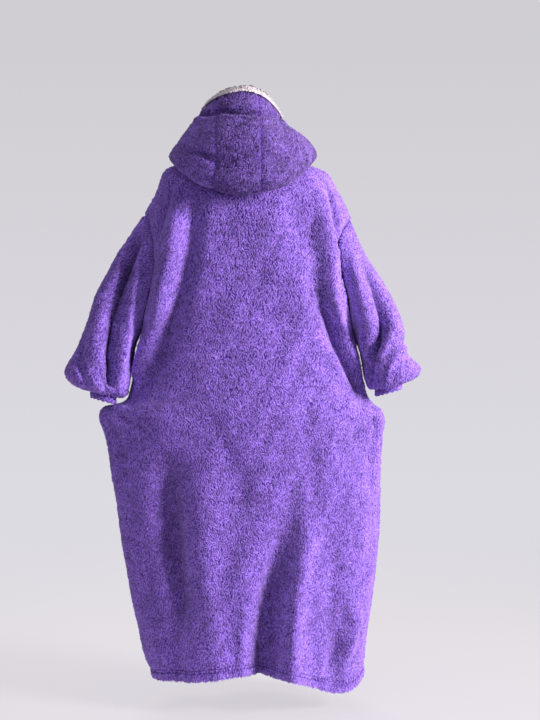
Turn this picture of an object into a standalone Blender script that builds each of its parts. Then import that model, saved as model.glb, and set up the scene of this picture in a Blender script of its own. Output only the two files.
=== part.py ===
# A wearable blanket hoodie in deep-pile fleece, filled out as it hangs on a wearer: hood down on the
# back, both arms lowered, and the sides of the body drawn out at hip height.
# Metres, +Z up. The front faces -Y, so +X is the wearer's left and +Y the back.
# The origin is the middle of the neck opening, level with the inner ends of the shoulder seams, where
# the wearer's shoulders carry the garment. Every table gives the outer face of the cloth, and the wall
# is built inwards from it.

import math

import bmesh
import bpy
import numpy as np

CLOTH = 0.005  # pile cloth, backing and pile together
LINING = 0.003  # hood lining
LINING_GAP = 0.0008  # between the hood's cloth and its lining
SEAM_GAP = 0.0003  # between neighbouring pieces
HEM_DEPTH = 0.025  # stitch line above the hem's edge
STITCH_DENT = 0.0015  # how far the hem's stitching draws the cloth in

# Rows and columns of each panel. Panels that share a seam share its points.
SHOULDER_ROWS, ARMHOLE_ROWS, SIDE_ROWS = 5, 12, 17
BACK_COLUMNS, FRONT_COLUMNS = 30, 18
SLEEVE_ROWS, CUFF_ROWS = 13, 2
STRIP_COLUMNS = 12  # columns of the hood's centre strip
SAMPLES = 160  # points that measure a section before it is divided into columns


def table(columns, *rows):
    """A short table as a dictionary of its named columns."""
    return {name: np.array([row[i] for row in rows]) for i, name in enumerate(columns.split())}


# Shoulder seams, from the neck opening to the dropped shoulder point.
SHOULDER = {
    "left": table(
        "at x y z",
        (0.00, 0.0980, 0.000, 0.0000),
        (0.25, 0.1500, -0.004, -0.0370),
        (0.52, 0.2050, -0.006, -0.0550),
        (0.78, 0.2290, -0.004, -0.1170),
        (1.00, 0.2540, 0.000, -0.1640),
    ),
    "right": table(
        "at x y z",
        (0.00, 0.0980, 0.000, 0.0000),
        (0.25, 0.1500, -0.004, -0.0370),
        (0.52, 0.2070, -0.006, -0.0590),
        (0.78, 0.2430, -0.004, -0.1180),
        (1.00, 0.2700, 0.000, -0.1780),
    ),
}

# Armholes, from the shoulder point to the underarm, along the back edge and along the front edge.
ARMHOLE = {
    ("left", "back"): table(
        "at x y z",
        (0.00, 0.2540, 0.000, -0.1640),
        (0.16, 0.2400, 0.040, -0.2040),
        (0.34, 0.2300, 0.070, -0.2540),
        (0.54, 0.2280, 0.082, -0.3140),
        (0.74, 0.2420, 0.082, -0.3740),
        (0.90, 0.2560, 0.058, -0.4330),
        (1.00, 0.2620, 0.012, -0.4700),
    ),
    ("left", "front"): table(
        "at x y z",
        (0.00, 0.2540, 0.000, -0.1640),
        (0.16, 0.2480, -0.042, -0.2040),
        (0.34, 0.2400, -0.076, -0.2540),
        (0.54, 0.2340, -0.090, -0.3200),
        (0.74, 0.2400, -0.082, -0.3780),
        (0.90, 0.2560, -0.044, -0.4340),
        (1.00, 0.2620, 0.012, -0.4700),
    ),
    ("right", "back"): table(
        "at x y z",
        (0.00, 0.2700, 0.000, -0.1780),
        (0.16, 0.2460, 0.040, -0.2100),
        (0.34, 0.2380, 0.072, -0.2580),
        (0.54, 0.2460, 0.089, -0.3220),
        (0.74, 0.2590, 0.086, -0.3820),
        (0.90, 0.2680, 0.058, -0.4380),
        (1.00, 0.2750, 0.012, -0.4760),
    ),
    ("right", "front"): table(
        "at x y z",
        (0.00, 0.2700, 0.000, -0.1780),
        (0.16, 0.2630, -0.042, -0.2180),
        (0.34, 0.2530, -0.076, -0.2680),
        (0.54, 0.2480, -0.090, -0.3300),
        (0.74, 0.2540, -0.082, -0.3880),
        (0.90, 0.2660, -0.044, -0.4400),
        (1.00, 0.2750, 0.012, -0.4760),
    ),
}

# Side seams, from the underarm past the corner that is drawn out at hip height, to the hem.
SIDE_SEAM = {
    "left": table(
        "at x y z",
        (0.000, 0.2620, 0.012, -0.4700),
        (0.100, 0.2780, 0.012, -0.5500),
        (0.165, 0.2875, 0.012, -0.6050),
        (0.205, 0.2990, 0.011, -0.6400),
        (0.235, 0.3240, 0.010, -0.6540),
        (0.265, 0.3620, 0.008, -0.6600),
        (0.290, 0.3740, 0.006, -0.6780),
        (0.345, 0.3610, 0.005, -0.7320),
        (0.450, 0.3450, 0.005, -0.8250),
        (0.550, 0.3280, 0.005, -0.9200),
        (0.700, 0.3060, 0.006, -1.0640),
        (0.850, 0.2770, 0.008, -1.2120),
        (0.930, 0.2560, 0.010, -1.2950),
        (1.000, 0.2360, 0.012, -1.3530),
    ),
    "right": table(
        "at x y z",
        (0.000, 0.2750, 0.012, -0.4760),
        (0.100, 0.2930, 0.012, -0.5540),
        (0.165, 0.3010, 0.012, -0.6000),
        (0.205, 0.3110, 0.011, -0.6330),
        (0.235, 0.3280, 0.010, -0.6530),
        (0.265, 0.3500, 0.008, -0.6680),
        (0.290, 0.3590, 0.006, -0.6880),
        (0.345, 0.3550, 0.005, -0.7340),
        (0.450, 0.3490, 0.005, -0.8280),
        (0.550, 0.3490, 0.005, -0.9280),
        (0.700, 0.3370, 0.006, -1.0780),
        (0.850, 0.3160, 0.006, -1.2160),
        (0.930, 0.3080, 0.008, -1.2860),
        (1.000, 0.3040, 0.014, -1.3480),
    ),
}

# The middle of the back and of the front, from neck to hem. at is the stage: 0 at the neck, 1 level
# with the shoulder point, 2 with the underarm and 3 at the hem. bulge above 1 draws a section in
# towards its sides.
MIDDLE = {
    "back": table(
        "at y z bulge",
        (0.00, 0.074, 0.0060, 1.00),
        (0.35, 0.108, -0.0450, 1.00),
        (0.70, 0.131, -0.1010, 0.95),
        (1.00, 0.145, -0.1520, 0.90),
        (1.50, 0.151, -0.3050, 0.85),
        (2.00, 0.149, -0.4500, 0.95),
        (2.18, 0.149, -0.5850, 1.10),
        (2.32, 0.151, -0.7100, 1.15),
        (2.55, 0.160, -0.9150, 1.05),
        (2.80, 0.174, -1.1500, 0.95),
        (3.00, 0.182, -1.3180, 0.90),
    ),
    "front": table(
        "at y z bulge",
        (0.00, -0.100, -0.0780, 1.00),
        (0.35, -0.124, -0.1180, 1.00),
        (0.70, -0.143, -0.1620, 0.95),
        (1.00, -0.156, -0.2050, 0.90),
        (1.50, -0.174, -0.3350, 0.85),
        (2.00, -0.180, -0.4650, 0.95),
        (2.18, -0.182, -0.5950, 1.10),
        (2.32, -0.185, -0.7150, 1.15),
        (2.55, -0.191, -0.9200, 1.05),
        (2.80, -0.199, -1.1600, 0.95),
        (3.00, -0.204, -1.3540, 0.90),
    ),
}
ROW_RISE = 1.5  # how soon a section's height passes from its edge to its middle
# How far the hem dips between the back's folds, from the right side seam at -1 to the left at 1, and
# the height from which the dip is felt.
HEM_DIP = table(
    "at drop",
    (-1.00, 0.000),
    (-0.90, 0.026),
    (-0.80, 0.036),
    (-0.60, 0.028),
    (-0.44, 0.015),
    (-0.30, 0.007),
    (-0.10, 0.000),
    (0.42, 0.008),
    (1.00, 0.000),
)
DIP_FROM = -0.90

# Largest folds of the body. at is the depth below the neck, x the place across, out the height (a
# trough is negative).
BODY_FOLDS = {
    "back": [
        table(
            "at x out width",
            (0.08, 0.160, 0.000, 0.024),
            (0.18, 0.171, 0.020, 0.024),
            (0.27, 0.181, 0.026, 0.024),
            (0.39, 0.209, 0.026, 0.022),
            (0.49, 0.238, 0.022, 0.019),
            (0.57, 0.270, 0.016, 0.016),
            (0.64, 0.305, 0.000, 0.016),
        ),
        table(
            "at x out width",
            (0.08, 0.112, 0.000, 0.030),
            (0.18, 0.126, -0.014, 0.026),
            (0.27, 0.136, -0.018, 0.026),
            (0.39, 0.164, -0.020, 0.026),
            (0.49, 0.196, -0.020, 0.024),
            (0.57, 0.233, -0.018, 0.020),
            (0.64, 0.282, -0.006, 0.018),
            (0.72, 0.310, 0.000, 0.018),
        ),
        table(
            "at x out width",
            (0.10, -0.185, 0.000, 0.020),
            (0.18, -0.198, 0.010, 0.020),
            (0.27, -0.213, 0.014, 0.020),
            (0.39, -0.226, 0.016, 0.018),
            (0.49, -0.255, 0.014, 0.015),
            (0.58, -0.285, 0.010, 0.013),
            (0.64, -0.310, 0.000, 0.013),
        ),
        table(
            "at x out width",
            (0.12, -0.140, 0.000, 0.032),
            (0.27, -0.174, -0.012, 0.030),
            (0.39, -0.188, -0.018, 0.026),
            (0.47, -0.225, -0.022, 0.019),
            (0.53, -0.247, -0.020, 0.016),
            (0.58, -0.271, -0.016, 0.014),
            (0.65, -0.305, 0.000, 0.014),
        ),
        table(
            "at x out width",
            (0.84, -0.118, 0.000, 0.034),
            (0.96, -0.096, -0.010, 0.032),
            (1.04, -0.076, -0.020, 0.030),
            (1.13, -0.054, -0.032, 0.030),
            (1.25, -0.042, -0.042, 0.030),
            (1.34, -0.040, -0.048, 0.030),
        ),
        table(
            "at x out width",
            (0.95, -0.140, 0.000, 0.040),
            (1.12, -0.120, 0.012, 0.036),
            (1.34, -0.115, 0.018, 0.034),
        ),
        table(
            "at x out width",
            (0.70, 0.184, 0.000, 0.040),
            (0.85, 0.184, -0.013, 0.034),
            (0.98, 0.182, -0.022, 0.032),
            (1.12, 0.172, -0.020, 0.032),
            (1.34, 0.150, -0.010, 0.036),
        ),
        table(
            "at x out width",
            (0.78, 0.105, 0.000, 0.045),
            (0.98, 0.098, 0.012, 0.038),
            (1.16, 0.086, 0.016, 0.036),
            (1.34, 0.066, 0.014, 0.036),
        ),
        table(
            "at x out width",
            (0.92, -0.215, 0.000, 0.030),
            (1.10, -0.222, -0.010, 0.030),
            (1.25, -0.226, -0.014, 0.026),
            (1.36, -0.232, -0.008, 0.026),
        ),
    ],
    "front": [
        table(
            "at x out width",
            (0.20, 0.150, 0.000, 0.036),
            (0.45, 0.185, -0.018, 0.036),
            (0.60, 0.236, -0.018, 0.030),
            (0.74, 0.300, 0.000, 0.026),
        ),
        table(
            "at x out width",
            (0.20, -0.155, 0.000, 0.036),
            (0.45, -0.195, -0.018, 0.036),
            (0.60, -0.246, -0.018, 0.030),
            (0.74, -0.300, 0.000, 0.026),
        ),
        table(
            "at x out width",
            (0.55, 0.030, 0.000, 0.060),
            (0.95, 0.070, -0.020, 0.048),
            (1.36, 0.095, -0.042, 0.042),
        ),
        table(
            "at x out width",
            (0.60, -0.060, 0.000, 0.060),
            (1.00, -0.110, -0.018, 0.048),
            (1.36, -0.130, -0.036, 0.044),
        ),
        table(
            "at x out width",
            (0.80, -0.020, 0.000, 0.050),
            (1.10, -0.018, 0.014, 0.046),
            (1.36, -0.015, 0.020, 0.044),
        ),
    ],
}
FOLD_FADE = 0.10  # share of a panel's half width over which folds die out at its seams

# Sleeve sections. outer and inner are where a section crosses the arm's outer and inner side, depth is
# half its depth front to back, round mid_y. The section at 0 is the armhole itself.
SLEEVE = {
    "left": table(
        "at outer_x outer_z inner_x inner_z mid_y depth",
        (0.14, 0.3140, -0.254, 0.281, -0.500, 0.006, 0.096),
        (0.34, 0.3730, -0.362, 0.287, -0.545, 0.018, 0.094),
        (0.54, 0.4110, -0.468, 0.291, -0.590, 0.030, 0.088),
        (0.66, 0.4270, -0.507, 0.295, -0.610, 0.036, 0.080),
        (0.80, 0.4580, -0.566, 0.299, -0.626, 0.040, 0.078),
        (0.92, 0.4340, -0.602, 0.308, -0.634, 0.040, 0.062),
        (1.00, 0.3960, -0.617, 0.324, -0.636, 0.038, 0.043),
    ),
    "right": table(
        "at outer_x outer_z inner_x inner_z mid_y depth",
        (0.14, 0.3080, -0.266, 0.289, -0.504, 0.006, 0.096),
        (0.34, 0.3600, -0.350, 0.297, -0.545, 0.018, 0.094),
        (0.54, 0.4060, -0.460, 0.303, -0.580, 0.030, 0.088),
        (0.66, 0.4120, -0.512, 0.307, -0.596, 0.036, 0.078),
        (0.80, 0.4480, -0.556, 0.311, -0.608, 0.040, 0.076),
        (0.92, 0.4340, -0.585, 0.318, -0.616, 0.040, 0.060),
        (1.00, 0.4020, -0.597, 0.328, -0.616, 0.038, 0.041),
    ),
}

# Largest folds of the sleeves, on the back and on the front of each. at is the depth below the neck, x
# the place across.
SLEEVE_FOLDS = {
    "left": {
        "back": [
            table(
                "at x out width",
                (0.17, 0.240, 0.000, 0.016),
                (0.22, 0.262, -0.010, 0.018),
                (0.27, 0.284, -0.018, 0.020),
                (0.34, 0.303, -0.026, 0.021),
                (0.42, 0.323, -0.029, 0.022),
                (0.52, 0.335, -0.027, 0.021),
                (0.58, 0.331, -0.018, 0.018),
                (0.63, 0.326, -0.004, 0.015),
            ),
            table(
                "at x out width",
                (0.20, 0.236, 0.000, 0.014),
                (0.26, 0.248, 0.005, 0.015),
                (0.34, 0.264, 0.008, 0.016),
                (0.42, 0.282, 0.008, 0.016),
                (0.52, 0.304, 0.006, 0.014),
                (0.60, 0.312, 0.002, 0.012),
            ),
        ],
        "front": [
            table(
                "at x out width",
                (0.22, 0.262, 0.000, 0.022),
                (0.36, 0.304, -0.022, 0.024),
                (0.50, 0.338, -0.022, 0.022),
                (0.60, 0.358, 0.000, 0.020),
            ),
        ],
    },
    "right": {
        "back": [
            table(
                "at x out width",
                (0.26, -0.292, 0.000, 0.014),
                (0.31, -0.305, -0.012, 0.014),
                (0.37, -0.330, -0.022, 0.016),
                (0.44, -0.347, -0.030, 0.016),
                (0.485, -0.333, -0.032, 0.014),
                (0.52, -0.318, -0.030, 0.012),
                (0.56, -0.312, -0.024, 0.011),
                (0.61, -0.322, -0.006, 0.010),
            ),
            table(
                "at x out width",
                (0.23, -0.255, 0.000, 0.016),
                (0.31, -0.274, 0.010, 0.018),
                (0.37, -0.292, 0.014, 0.018),
                (0.44, -0.305, 0.014, 0.018),
                (0.50, -0.299, 0.010, 0.012),
                (0.56, -0.292, 0.000, 0.012),
            ),
        ],
        "front": [
            table(
                "at x out width",
                (0.22, -0.262, 0.000, 0.022),
                (0.36, -0.300, -0.022, 0.024),
                (0.50, -0.330, -0.022, 0.022),
                (0.60, -0.350, 0.000, 0.020),
            ),
        ],
    },
}
FACE_FADE = 2.5  # how soon a sleeve's folds reach their height towards its back or front

# Cuffs: how far each ring is below the sleeve's end, and its size as a share of that end.
CUFF = table("at below size", (0.0, 0.000, 1.00), (0.5, 0.008, 0.95), (1.0, 0.016, 0.93))

# The hood, from the neck seam over the fold behind the neck, down under itself to the crown, and up its
# outer layer to the rim. Each row is a ring: its middle at the back, its left and right sides, its
# middle at the front, and how far out the centre strip's two seams lie.
HOOD = table(
    "back_y back_z left_x left_y left_z right_x right_y right_z front_y front_z strip_left strip_right",
    (0.082, 0.020, 0.1030, 0.004, 0.012, 0.1030, 0.004, 0.012, -0.109, -0.074, 0.052, 0.051),
    (0.099, 0.028, 0.1150, 0.010, 0.013, 0.1140, 0.010, 0.013, -0.121, -0.084, 0.053, 0.050),
    (0.117, 0.008, 0.1310, 0.018, 0.003, 0.1290, 0.018, 0.003, -0.133, -0.094, 0.056, 0.048),
    (0.132, -0.040, 0.1450, 0.026, -0.010, 0.1410, 0.026, -0.009, -0.144, -0.100, 0.060, 0.046),
    (0.150, -0.090, 0.1580, 0.032, -0.022, 0.1520, 0.032, -0.020, -0.154, -0.101, 0.066, 0.044),
    (0.178, -0.121, 0.1720, 0.036, -0.032, 0.1630, 0.036, -0.029, -0.161, -0.095, 0.072, 0.042),
    (0.216, -0.129, 0.1850, 0.040, -0.033, 0.1745, 0.040, -0.030, -0.163, -0.084, 0.077, 0.041),
    (0.246, -0.103, 0.1900, 0.042, -0.022, 0.1800, 0.042, -0.019, -0.159, -0.072, 0.077, 0.040),
    (0.236, -0.064, 0.1830, 0.042, -0.006, 0.1750, 0.042, -0.003, -0.152, -0.061, 0.071, 0.041),
    (0.238, -0.018, 0.1690, 0.042, 0.014, 0.1610, 0.040, 0.013, -0.144, -0.051, 0.070, 0.041),
    (0.208, 0.034, 0.1500, 0.040, 0.040, 0.1370, 0.036, 0.034, -0.136, -0.041, 0.072, 0.040),
    (0.162, 0.066, 0.1300, 0.034, 0.067, 0.1070, 0.030, 0.054, -0.128, -0.032, 0.072, 0.038),
    (0.154, 0.096, 0.1180, 0.030, 0.080, 0.0960, 0.026, 0.066, -0.121, -0.024, 0.072, 0.037),
    (0.121, 0.139, 0.1000, 0.028, 0.094, 0.0820, 0.024, 0.082, -0.112, -0.016, 0.070, 0.036),
)
HOOD_DROP = 1.4  # how a hood ring's height passes from its sides to its middle
# How far the lining stands above the rim at the back, on the left, on the right and in front.
LINING_LIP = {"back": 0.008, "left": 0.007, "right": 0.014, "front": 0.006}

PURPLE = (0.235, 0.125, 0.560)
CREAM = (0.800, 0.720, 0.760)


def smooth(rows, column, at):
    """A table's column at any place, on a smooth curve through its rows, level beyond its ends."""
    places, values = rows["at"], rows[column]
    slopes = np.gradient(values, places)
    at = np.clip(at, places[0], places[-1])
    i = np.clip(np.searchsorted(places, at, side="right") - 1, 0, len(places) - 2)
    step = places[i + 1] - places[i]
    t = (at - places[i]) / step
    start, end = values[i], values[i + 1]
    bend = slopes[i] * (t - 2 * t**2 + t**3) + slopes[i + 1] * (t**3 - t**2)
    return start + (end - start) * (3 * t**2 - 2 * t**3) + bend * step


def place(rows, at):
    """The point that a table of x, y and z gives."""
    return np.array([smooth(rows, axis, at) for axis in "xyz"])


def edge_point(side, face, stage):
    """A body panel's edge: the shoulder seam up to stage 1, the armhole up to 2, then the side seam to 3."""
    if stage <= 1:
        found = place(SHOULDER[side], stage)
    elif stage <= 2:
        found = place(ARMHOLE[side, face], stage - 1)
    else:
        found = place(SIDE_SEAM[side], stage - 2)
    return found if side == "left" else found * (-1, 1, 1)


def section(face, stage):
    """One section of a body panel, from its right edge through its middle to its left edge."""
    rows = MIDDLE[face]
    middle_y, middle_z, bulge = (smooth(rows, column, stage) for column in ("y", "z", "bulge"))
    points = []
    for across in np.linspace(-1, 1, SAMPLES + 1):
        edge = edge_point("left" if across > 0 else "right", face, stage)
        turn = abs(across) * math.pi / 2
        rise = max(math.cos(turn), 0.0)
        x = edge[0] * math.sin(turn)
        z = edge[2] + (middle_z - edge[2]) * rise**ROW_RISE
        if face == "back" and z < DIP_FROM:
            felt = ((DIP_FROM - z) / (DIP_FROM - rows["z"][-1])) ** 2
            z -= smooth(HEM_DIP, "drop", math.copysign(math.sin(turn), across)) * felt
        points.append((x, edge[1] + (middle_y - edge[1]) * rise**bulge, z))
    return np.array(points)


def divided(points, count):
    """A line of points divided into count equal lengths."""
    lengths = np.linalg.norm(np.diff(points, axis=0), axis=1)
    along = np.concatenate([[0], np.cumsum(lengths)])
    wanted = np.linspace(0, along[-1], count + 1)
    return np.stack([np.interp(wanted, along, points[:, i]) for i in range(3)], axis=1)


def stages():
    """The rows of a body panel, closer together at the hem's stitching."""
    hem_step = HEM_DEPTH / (SIDE_SEAM["left"]["z"][0] - SIDE_SEAM["left"]["z"][-1])
    side = np.linspace(2, 3 - hem_step, SIDE_ROWS)[1:]
    return np.concatenate([
        np.linspace(0, 1, SHOULDER_ROWS + 1),
        np.linspace(1, 2, ARMHOLE_ROWS + 1)[1:],
        side,
        [3.0],
    ])


def body_panel(face, columns):
    """The back or front panel as rows of points, with its edges exactly on the seams."""
    rows = [divided(section(face, stage), columns) for stage in stages()]
    return np.array(rows)


def sleeve_rings(side):
    """The sleeve's given sections, each from the outer side round the back to the inner side and on."""
    mirror = 1 if side == "left" else -1
    shares = np.linspace(0, 1, ARMHOLE_ROWS + 1)
    back = [edge_point(side, "back", 1 + share) for share in shares]
    front = [edge_point(side, "front", 1 + share) for share in shares[::-1]]
    rings = [np.array(back + front[1:-1])]
    rows = SLEEVE[side]
    turns = np.linspace(0, 2 * math.pi, 2 * ARMHOLE_ROWS, endpoint=False)
    for i in range(len(rows["at"])):
        outer = np.array([mirror * rows["outer_x"][i], rows["mid_y"][i], rows["outer_z"][i]])
        inner = np.array([mirror * rows["inner_x"][i], rows["mid_y"][i], rows["inner_z"][i]])
        centre, reach = (outer + inner) / 2, (outer - inner) / 2
        depth = np.array([0, rows["depth"][i], 0])
        rings.append(np.array([centre + reach * math.cos(a) + depth * math.sin(a) for a in turns]))
    return np.concatenate([[0], rows["at"]]), np.array(rings)


def sleeve_tube(side):
    """The sleeve as rings of points, smooth through its sections."""
    at, rings = sleeve_rings(side)
    slopes = np.gradient(rings, at, axis=0)
    found = []
    for share in np.linspace(0, 1, SLEEVE_ROWS + 1):
        i = min(np.searchsorted(at, share, side="right") - 1, len(at) - 2)
        step = at[i + 1] - at[i]
        t = (share - at[i]) / step
        bend = slopes[i] * (t - 2 * t**2 + t**3) + slopes[i + 1] * (t**3 - t**2)
        found.append(rings[i] + (rings[i + 1] - rings[i]) * (3 * t**2 - 2 * t**3) + bend * step)
    return np.array(found)


def cuff_tube(sleeve):
    """The cuff, from the sleeve's last ring downwards and a little narrower."""
    end = sleeve[-1]
    centre = end.mean(axis=0)
    shares = np.linspace(0, 1, CUFF_ROWS + 1)
    rings = []
    for share in shares:
        below, size = smooth(CUFF, "below", share), smooth(CUFF, "size", share)
        rings.append(centre + (end - centre) * size - (0, 0, below))
    return np.array(rings)


def hood_arc(given, end, start, stop):
    """Part of a hood ring towards its back or front end, between two turns from the middle of that end."""
    points = []
    for turn in np.linspace(start, stop, SAMPLES + 1):
        side, mirror = ("left", 1) if turn > 0 else ("right", -1)
        lean = max(math.cos(turn), 0.0)
        x, y, z = (given[side + "_" + axis] for axis in "xyz")
        points.append((
            mirror * x * abs(math.sin(turn)),
            y + (given[end + "_y"] - y) * lean,
            z + (given[end + "_z"] - z) * lean**HOOD_DROP,
        ))
    return np.array(points)


def hood_ring(row, back_columns, front_columns):
    """One ring of the hood, from its right side round the back to its left side and round the front."""
    given = {name: values[row] for name, values in HOOD.items()}
    outside = (back_columns - STRIP_COLUMNS) // 2
    seam_left = math.asin(given["strip_left"] / given["left_x"])
    seam_right = -math.asin(given["strip_right"] / given["right_x"])
    quarter = math.pi / 2
    return np.concatenate([
        divided(hood_arc(given, "back", -quarter, seam_right), outside),
        divided(hood_arc(given, "back", seam_right, seam_left), STRIP_COLUMNS)[1:],
        divided(hood_arc(given, "back", seam_left, quarter), outside)[1:],
        divided(hood_arc(given, "front", quarter, -quarter), front_columns)[1:-1],
    ])


def hood_tube(back, front):
    """The whole hood as rings of points, the first on the neck line of the body panels."""
    neck = np.concatenate([back[0], front[0][::-1][1:-1]])
    rings = [hood_ring(row, back.shape[1] - 1, front.shape[1] - 1) for row in range(len(HOOD["back_y"]))]
    return np.array([neck] + rings)


def facing_sums(grid, closed):
    """At each point of a grid, the sum of its corners' unit normals, each times the corner's angle."""
    total = np.zeros_like(grid)
    rows, columns = grid.shape[:2]
    for down in (-1, 1):
        i = np.arange(max(0, -down), rows - max(0, down))
        for right in (-1, 1):
            j = np.arange(columns)
            if not closed:
                j = j[max(0, -right):columns - max(0, right)]
            here = grid[np.ix_(i, j)]
            along_row = grid[np.ix_(i, (j + right) % columns)] - here
            along_column = grid[np.ix_(i + down, j)] - here
            facing = np.cross(along_row, along_column) * down * right
            size = np.linalg.norm(facing, axis=2, keepdims=True)
            angle = np.arctan2(size, (along_row * along_column).sum(axis=2, keepdims=True))
            total[np.ix_(i, j)] += facing / size * angle
    return total


def point_keys(grid):
    """A key for each point of a grid, the same in every piece that shares the point."""
    return [tuple(point) for point in np.round(grid.reshape(-1, 3), 6).tolist()]


def shared_normals(grids):
    """Normals of all pieces, made equal where pieces meet at a seam so that their walls meet there."""
    sums = {}
    for grid, closed, turned in grids.values():
        facings = facing_sums(grid, closed).reshape(-1, 3) * turned
        for key, facing in zip(point_keys(grid), facings):
            sums[key] = sums.get(key, 0) + facing
    found = {}
    for name, (grid, _, _) in grids.items():
        total = np.array([sums[key] for key in point_keys(grid)]).reshape(grid.shape)
        found[name] = total / np.linalg.norm(total, axis=2, keepdims=True)
    return found


def fold_height(folds, at, across):
    """The height of all the folds of one face at a depth below the neck and a place across."""
    height = 0.0
    for rows in folds:
        reach = (across - smooth(rows, "x", at)) / smooth(rows, "width", at)
        height += smooth(rows, "out", at) * math.exp(-reach**2)
    return height


def fold_body(face, grid, normals):
    """The panel with its folds, which die out at the side edges, and with the hem's stitching drawn in."""
    folded = grid.copy()
    rows, columns = grid.shape[:2]
    for i in range(rows):
        for j in range(columns):
            point = grid[i, j]
            inset = min(1.0, min(j, columns - 1 - j) / (columns - 1) * 2 / FOLD_FADE)
            height = fold_height(BODY_FOLDS[face], -point[2], point[0]) * inset
            if i == rows - 2:
                height -= STITCH_DENT
            folded[i, j] = point + normals[i, j] * height
    return folded


def fold_sleeve(side, grid, normals):
    """The sleeve with its folds."""
    folded = grid.copy()
    rows, columns = grid.shape[:2]
    for i in range(1, rows - 1):
        for j in range(columns):
            facing = math.sin(2 * math.pi * j / columns)
            folds = SLEEVE_FOLDS[side]["back" if facing > 0 else "front"]
            height = fold_height(folds, -grid[i, j, 2], grid[i, j, 0]) * min(1.0, abs(facing) * FACE_FADE)
            folded[i, j] += normals[i, j] * height
    return folded


def trimmed(points, closed):
    """A grid drawn in by half a seam gap along its open edges."""
    result = points.copy()
    edges = [(0, 1), (-1, -2)]
    for edge, inside in edges:
        step = points[inside] - points[edge]
        result[edge] += step / np.linalg.norm(step, axis=1, keepdims=True) * SEAM_GAP / 2
    if not closed:
        for edge, inside in edges:
            step = points[:, inside] - points[:, edge]
            result[:, edge] += step / np.linalg.norm(step, axis=1, keepdims=True) * SEAM_GAP / 2
    return result


def wall(name, grid, normals, thickness, closed, material, collection):
    """One piece of cloth: its outer face through the grid, its inner face a thickness inside, its rims."""
    outer = trimmed(grid, closed)
    inner = trimmed(grid - normals * thickness, closed)
    rows, columns = grid.shape[:2]
    keys = np.array(point_keys(grid)).reshape(grid.shape)
    shape = bmesh.new()
    out = [[shape.verts.new(point) for point in row] for row in outer]
    into = [[shape.verts.new(point) for point in row] for row in inner]
    spans = [(j, (j + 1) % columns) for j in range(columns if closed else columns - 1)]
    for i in range(rows - 1):
        for a, b in spans:
            shape.faces.new((out[i][a], out[i + 1][a], out[i + 1][b], out[i][b]))
            shape.faces.new((into[i][a], into[i][b], into[i + 1][b], into[i + 1][a]))
    rims = [((i, a), (i, b)) for i in (0, rows - 1) for a, b in spans]
    if not closed:
        rims += [((i, j), (i + 1, j)) for j in (0, columns - 1) for i in range(rows - 1)]
    for (i, j), (k, m) in rims:
        # Both pieces of a seam split their rims along the same diagonal.
        if tuple(keys[i, j]) < tuple(keys[k, m]):
            i, j, k, m = k, m, i, j
        shape.faces.new((out[i][j], out[k][m], into[k][m]))
        shape.faces.new((out[i][j], into[k][m], into[i][j]))
    bmesh.ops.recalc_face_normals(shape, faces=shape.faces)
    mesh = bpy.data.meshes.new(name)
    shape.to_mesh(mesh)
    shape.free()
    mesh.materials.append(material)
    mesh.shade_smooth()
    mesh.set_sharp_from_angle(angle=math.radians(50))
    made = bpy.data.objects.new(name, mesh)
    collection.objects.link(made)
    return made


def cloth_material(name, colour, roughness):
    material = bpy.data.materials.new(name)
    material.use_nodes = True
    shader = material.node_tree.nodes["Principled BSDF"]
    shader.inputs["Base Color"].default_value = (*colour, 1)
    shader.inputs["Roughness"].default_value = roughness
    shader.inputs["Metallic"].default_value = 0.0
    return material


def lining_tube(hood, normals):
    """The hood's lining: the hood's points moved in past its cloth, with a lip above the rim."""
    inside = hood - normals * (CLOTH + LINING_GAP)
    rim = inside[-1]
    up = rim - inside[-2]
    up /= np.linalg.norm(up, axis=1, keepdims=True)
    width = np.where(hood[-1][:, 0] > 0, LINING_LIP["left"], LINING_LIP["right"])
    sideways = np.abs(hood[-1][:, 0]) / np.abs(hood[-1][:, 0]).max()
    ends = np.where(hood[-1][:, 1] > HOOD["left_y"][-1], LINING_LIP["back"], LINING_LIP["front"])
    height = (ends + (width - ends) * sideways**2)[:, None]
    return np.concatenate([inside, [rim + up * height]])


def panels_of(tube, normals, back_columns):
    """Cuts the hood, or its lining, into the right panel, the centre strip and the left panel."""
    count = tube.shape[1]
    outside = (back_columns - STRIP_COLUMNS) // 2
    front_middle = (back_columns + count) // 2
    right = [j % count for j in range(front_middle, count + outside + 1)]
    strip = list(range(outside, outside + STRIP_COLUMNS + 1))
    left = list(range(outside + STRIP_COLUMNS, front_middle + 1))
    return {side: (tube[:, chosen], normals[:, chosen]) for side, chosen in
            (("right", right), ("centre", strip), ("left", left))}


def pieces_of(back, front, hood, sleeves):
    """Each grid with whether it closes round, and the sign that turns its normals outwards."""
    found = {"back": (back, False, 1), "front": (front, False, -1), "hood": (hood, True, -1)}
    for side, tube in sleeves.items():
        found["sleeve_" + side] = (tube, True, -1 if side == "left" else 1)
    return found


def clear_scene():
    for old in list(bpy.data.objects):
        bpy.data.objects.remove(old)


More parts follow.
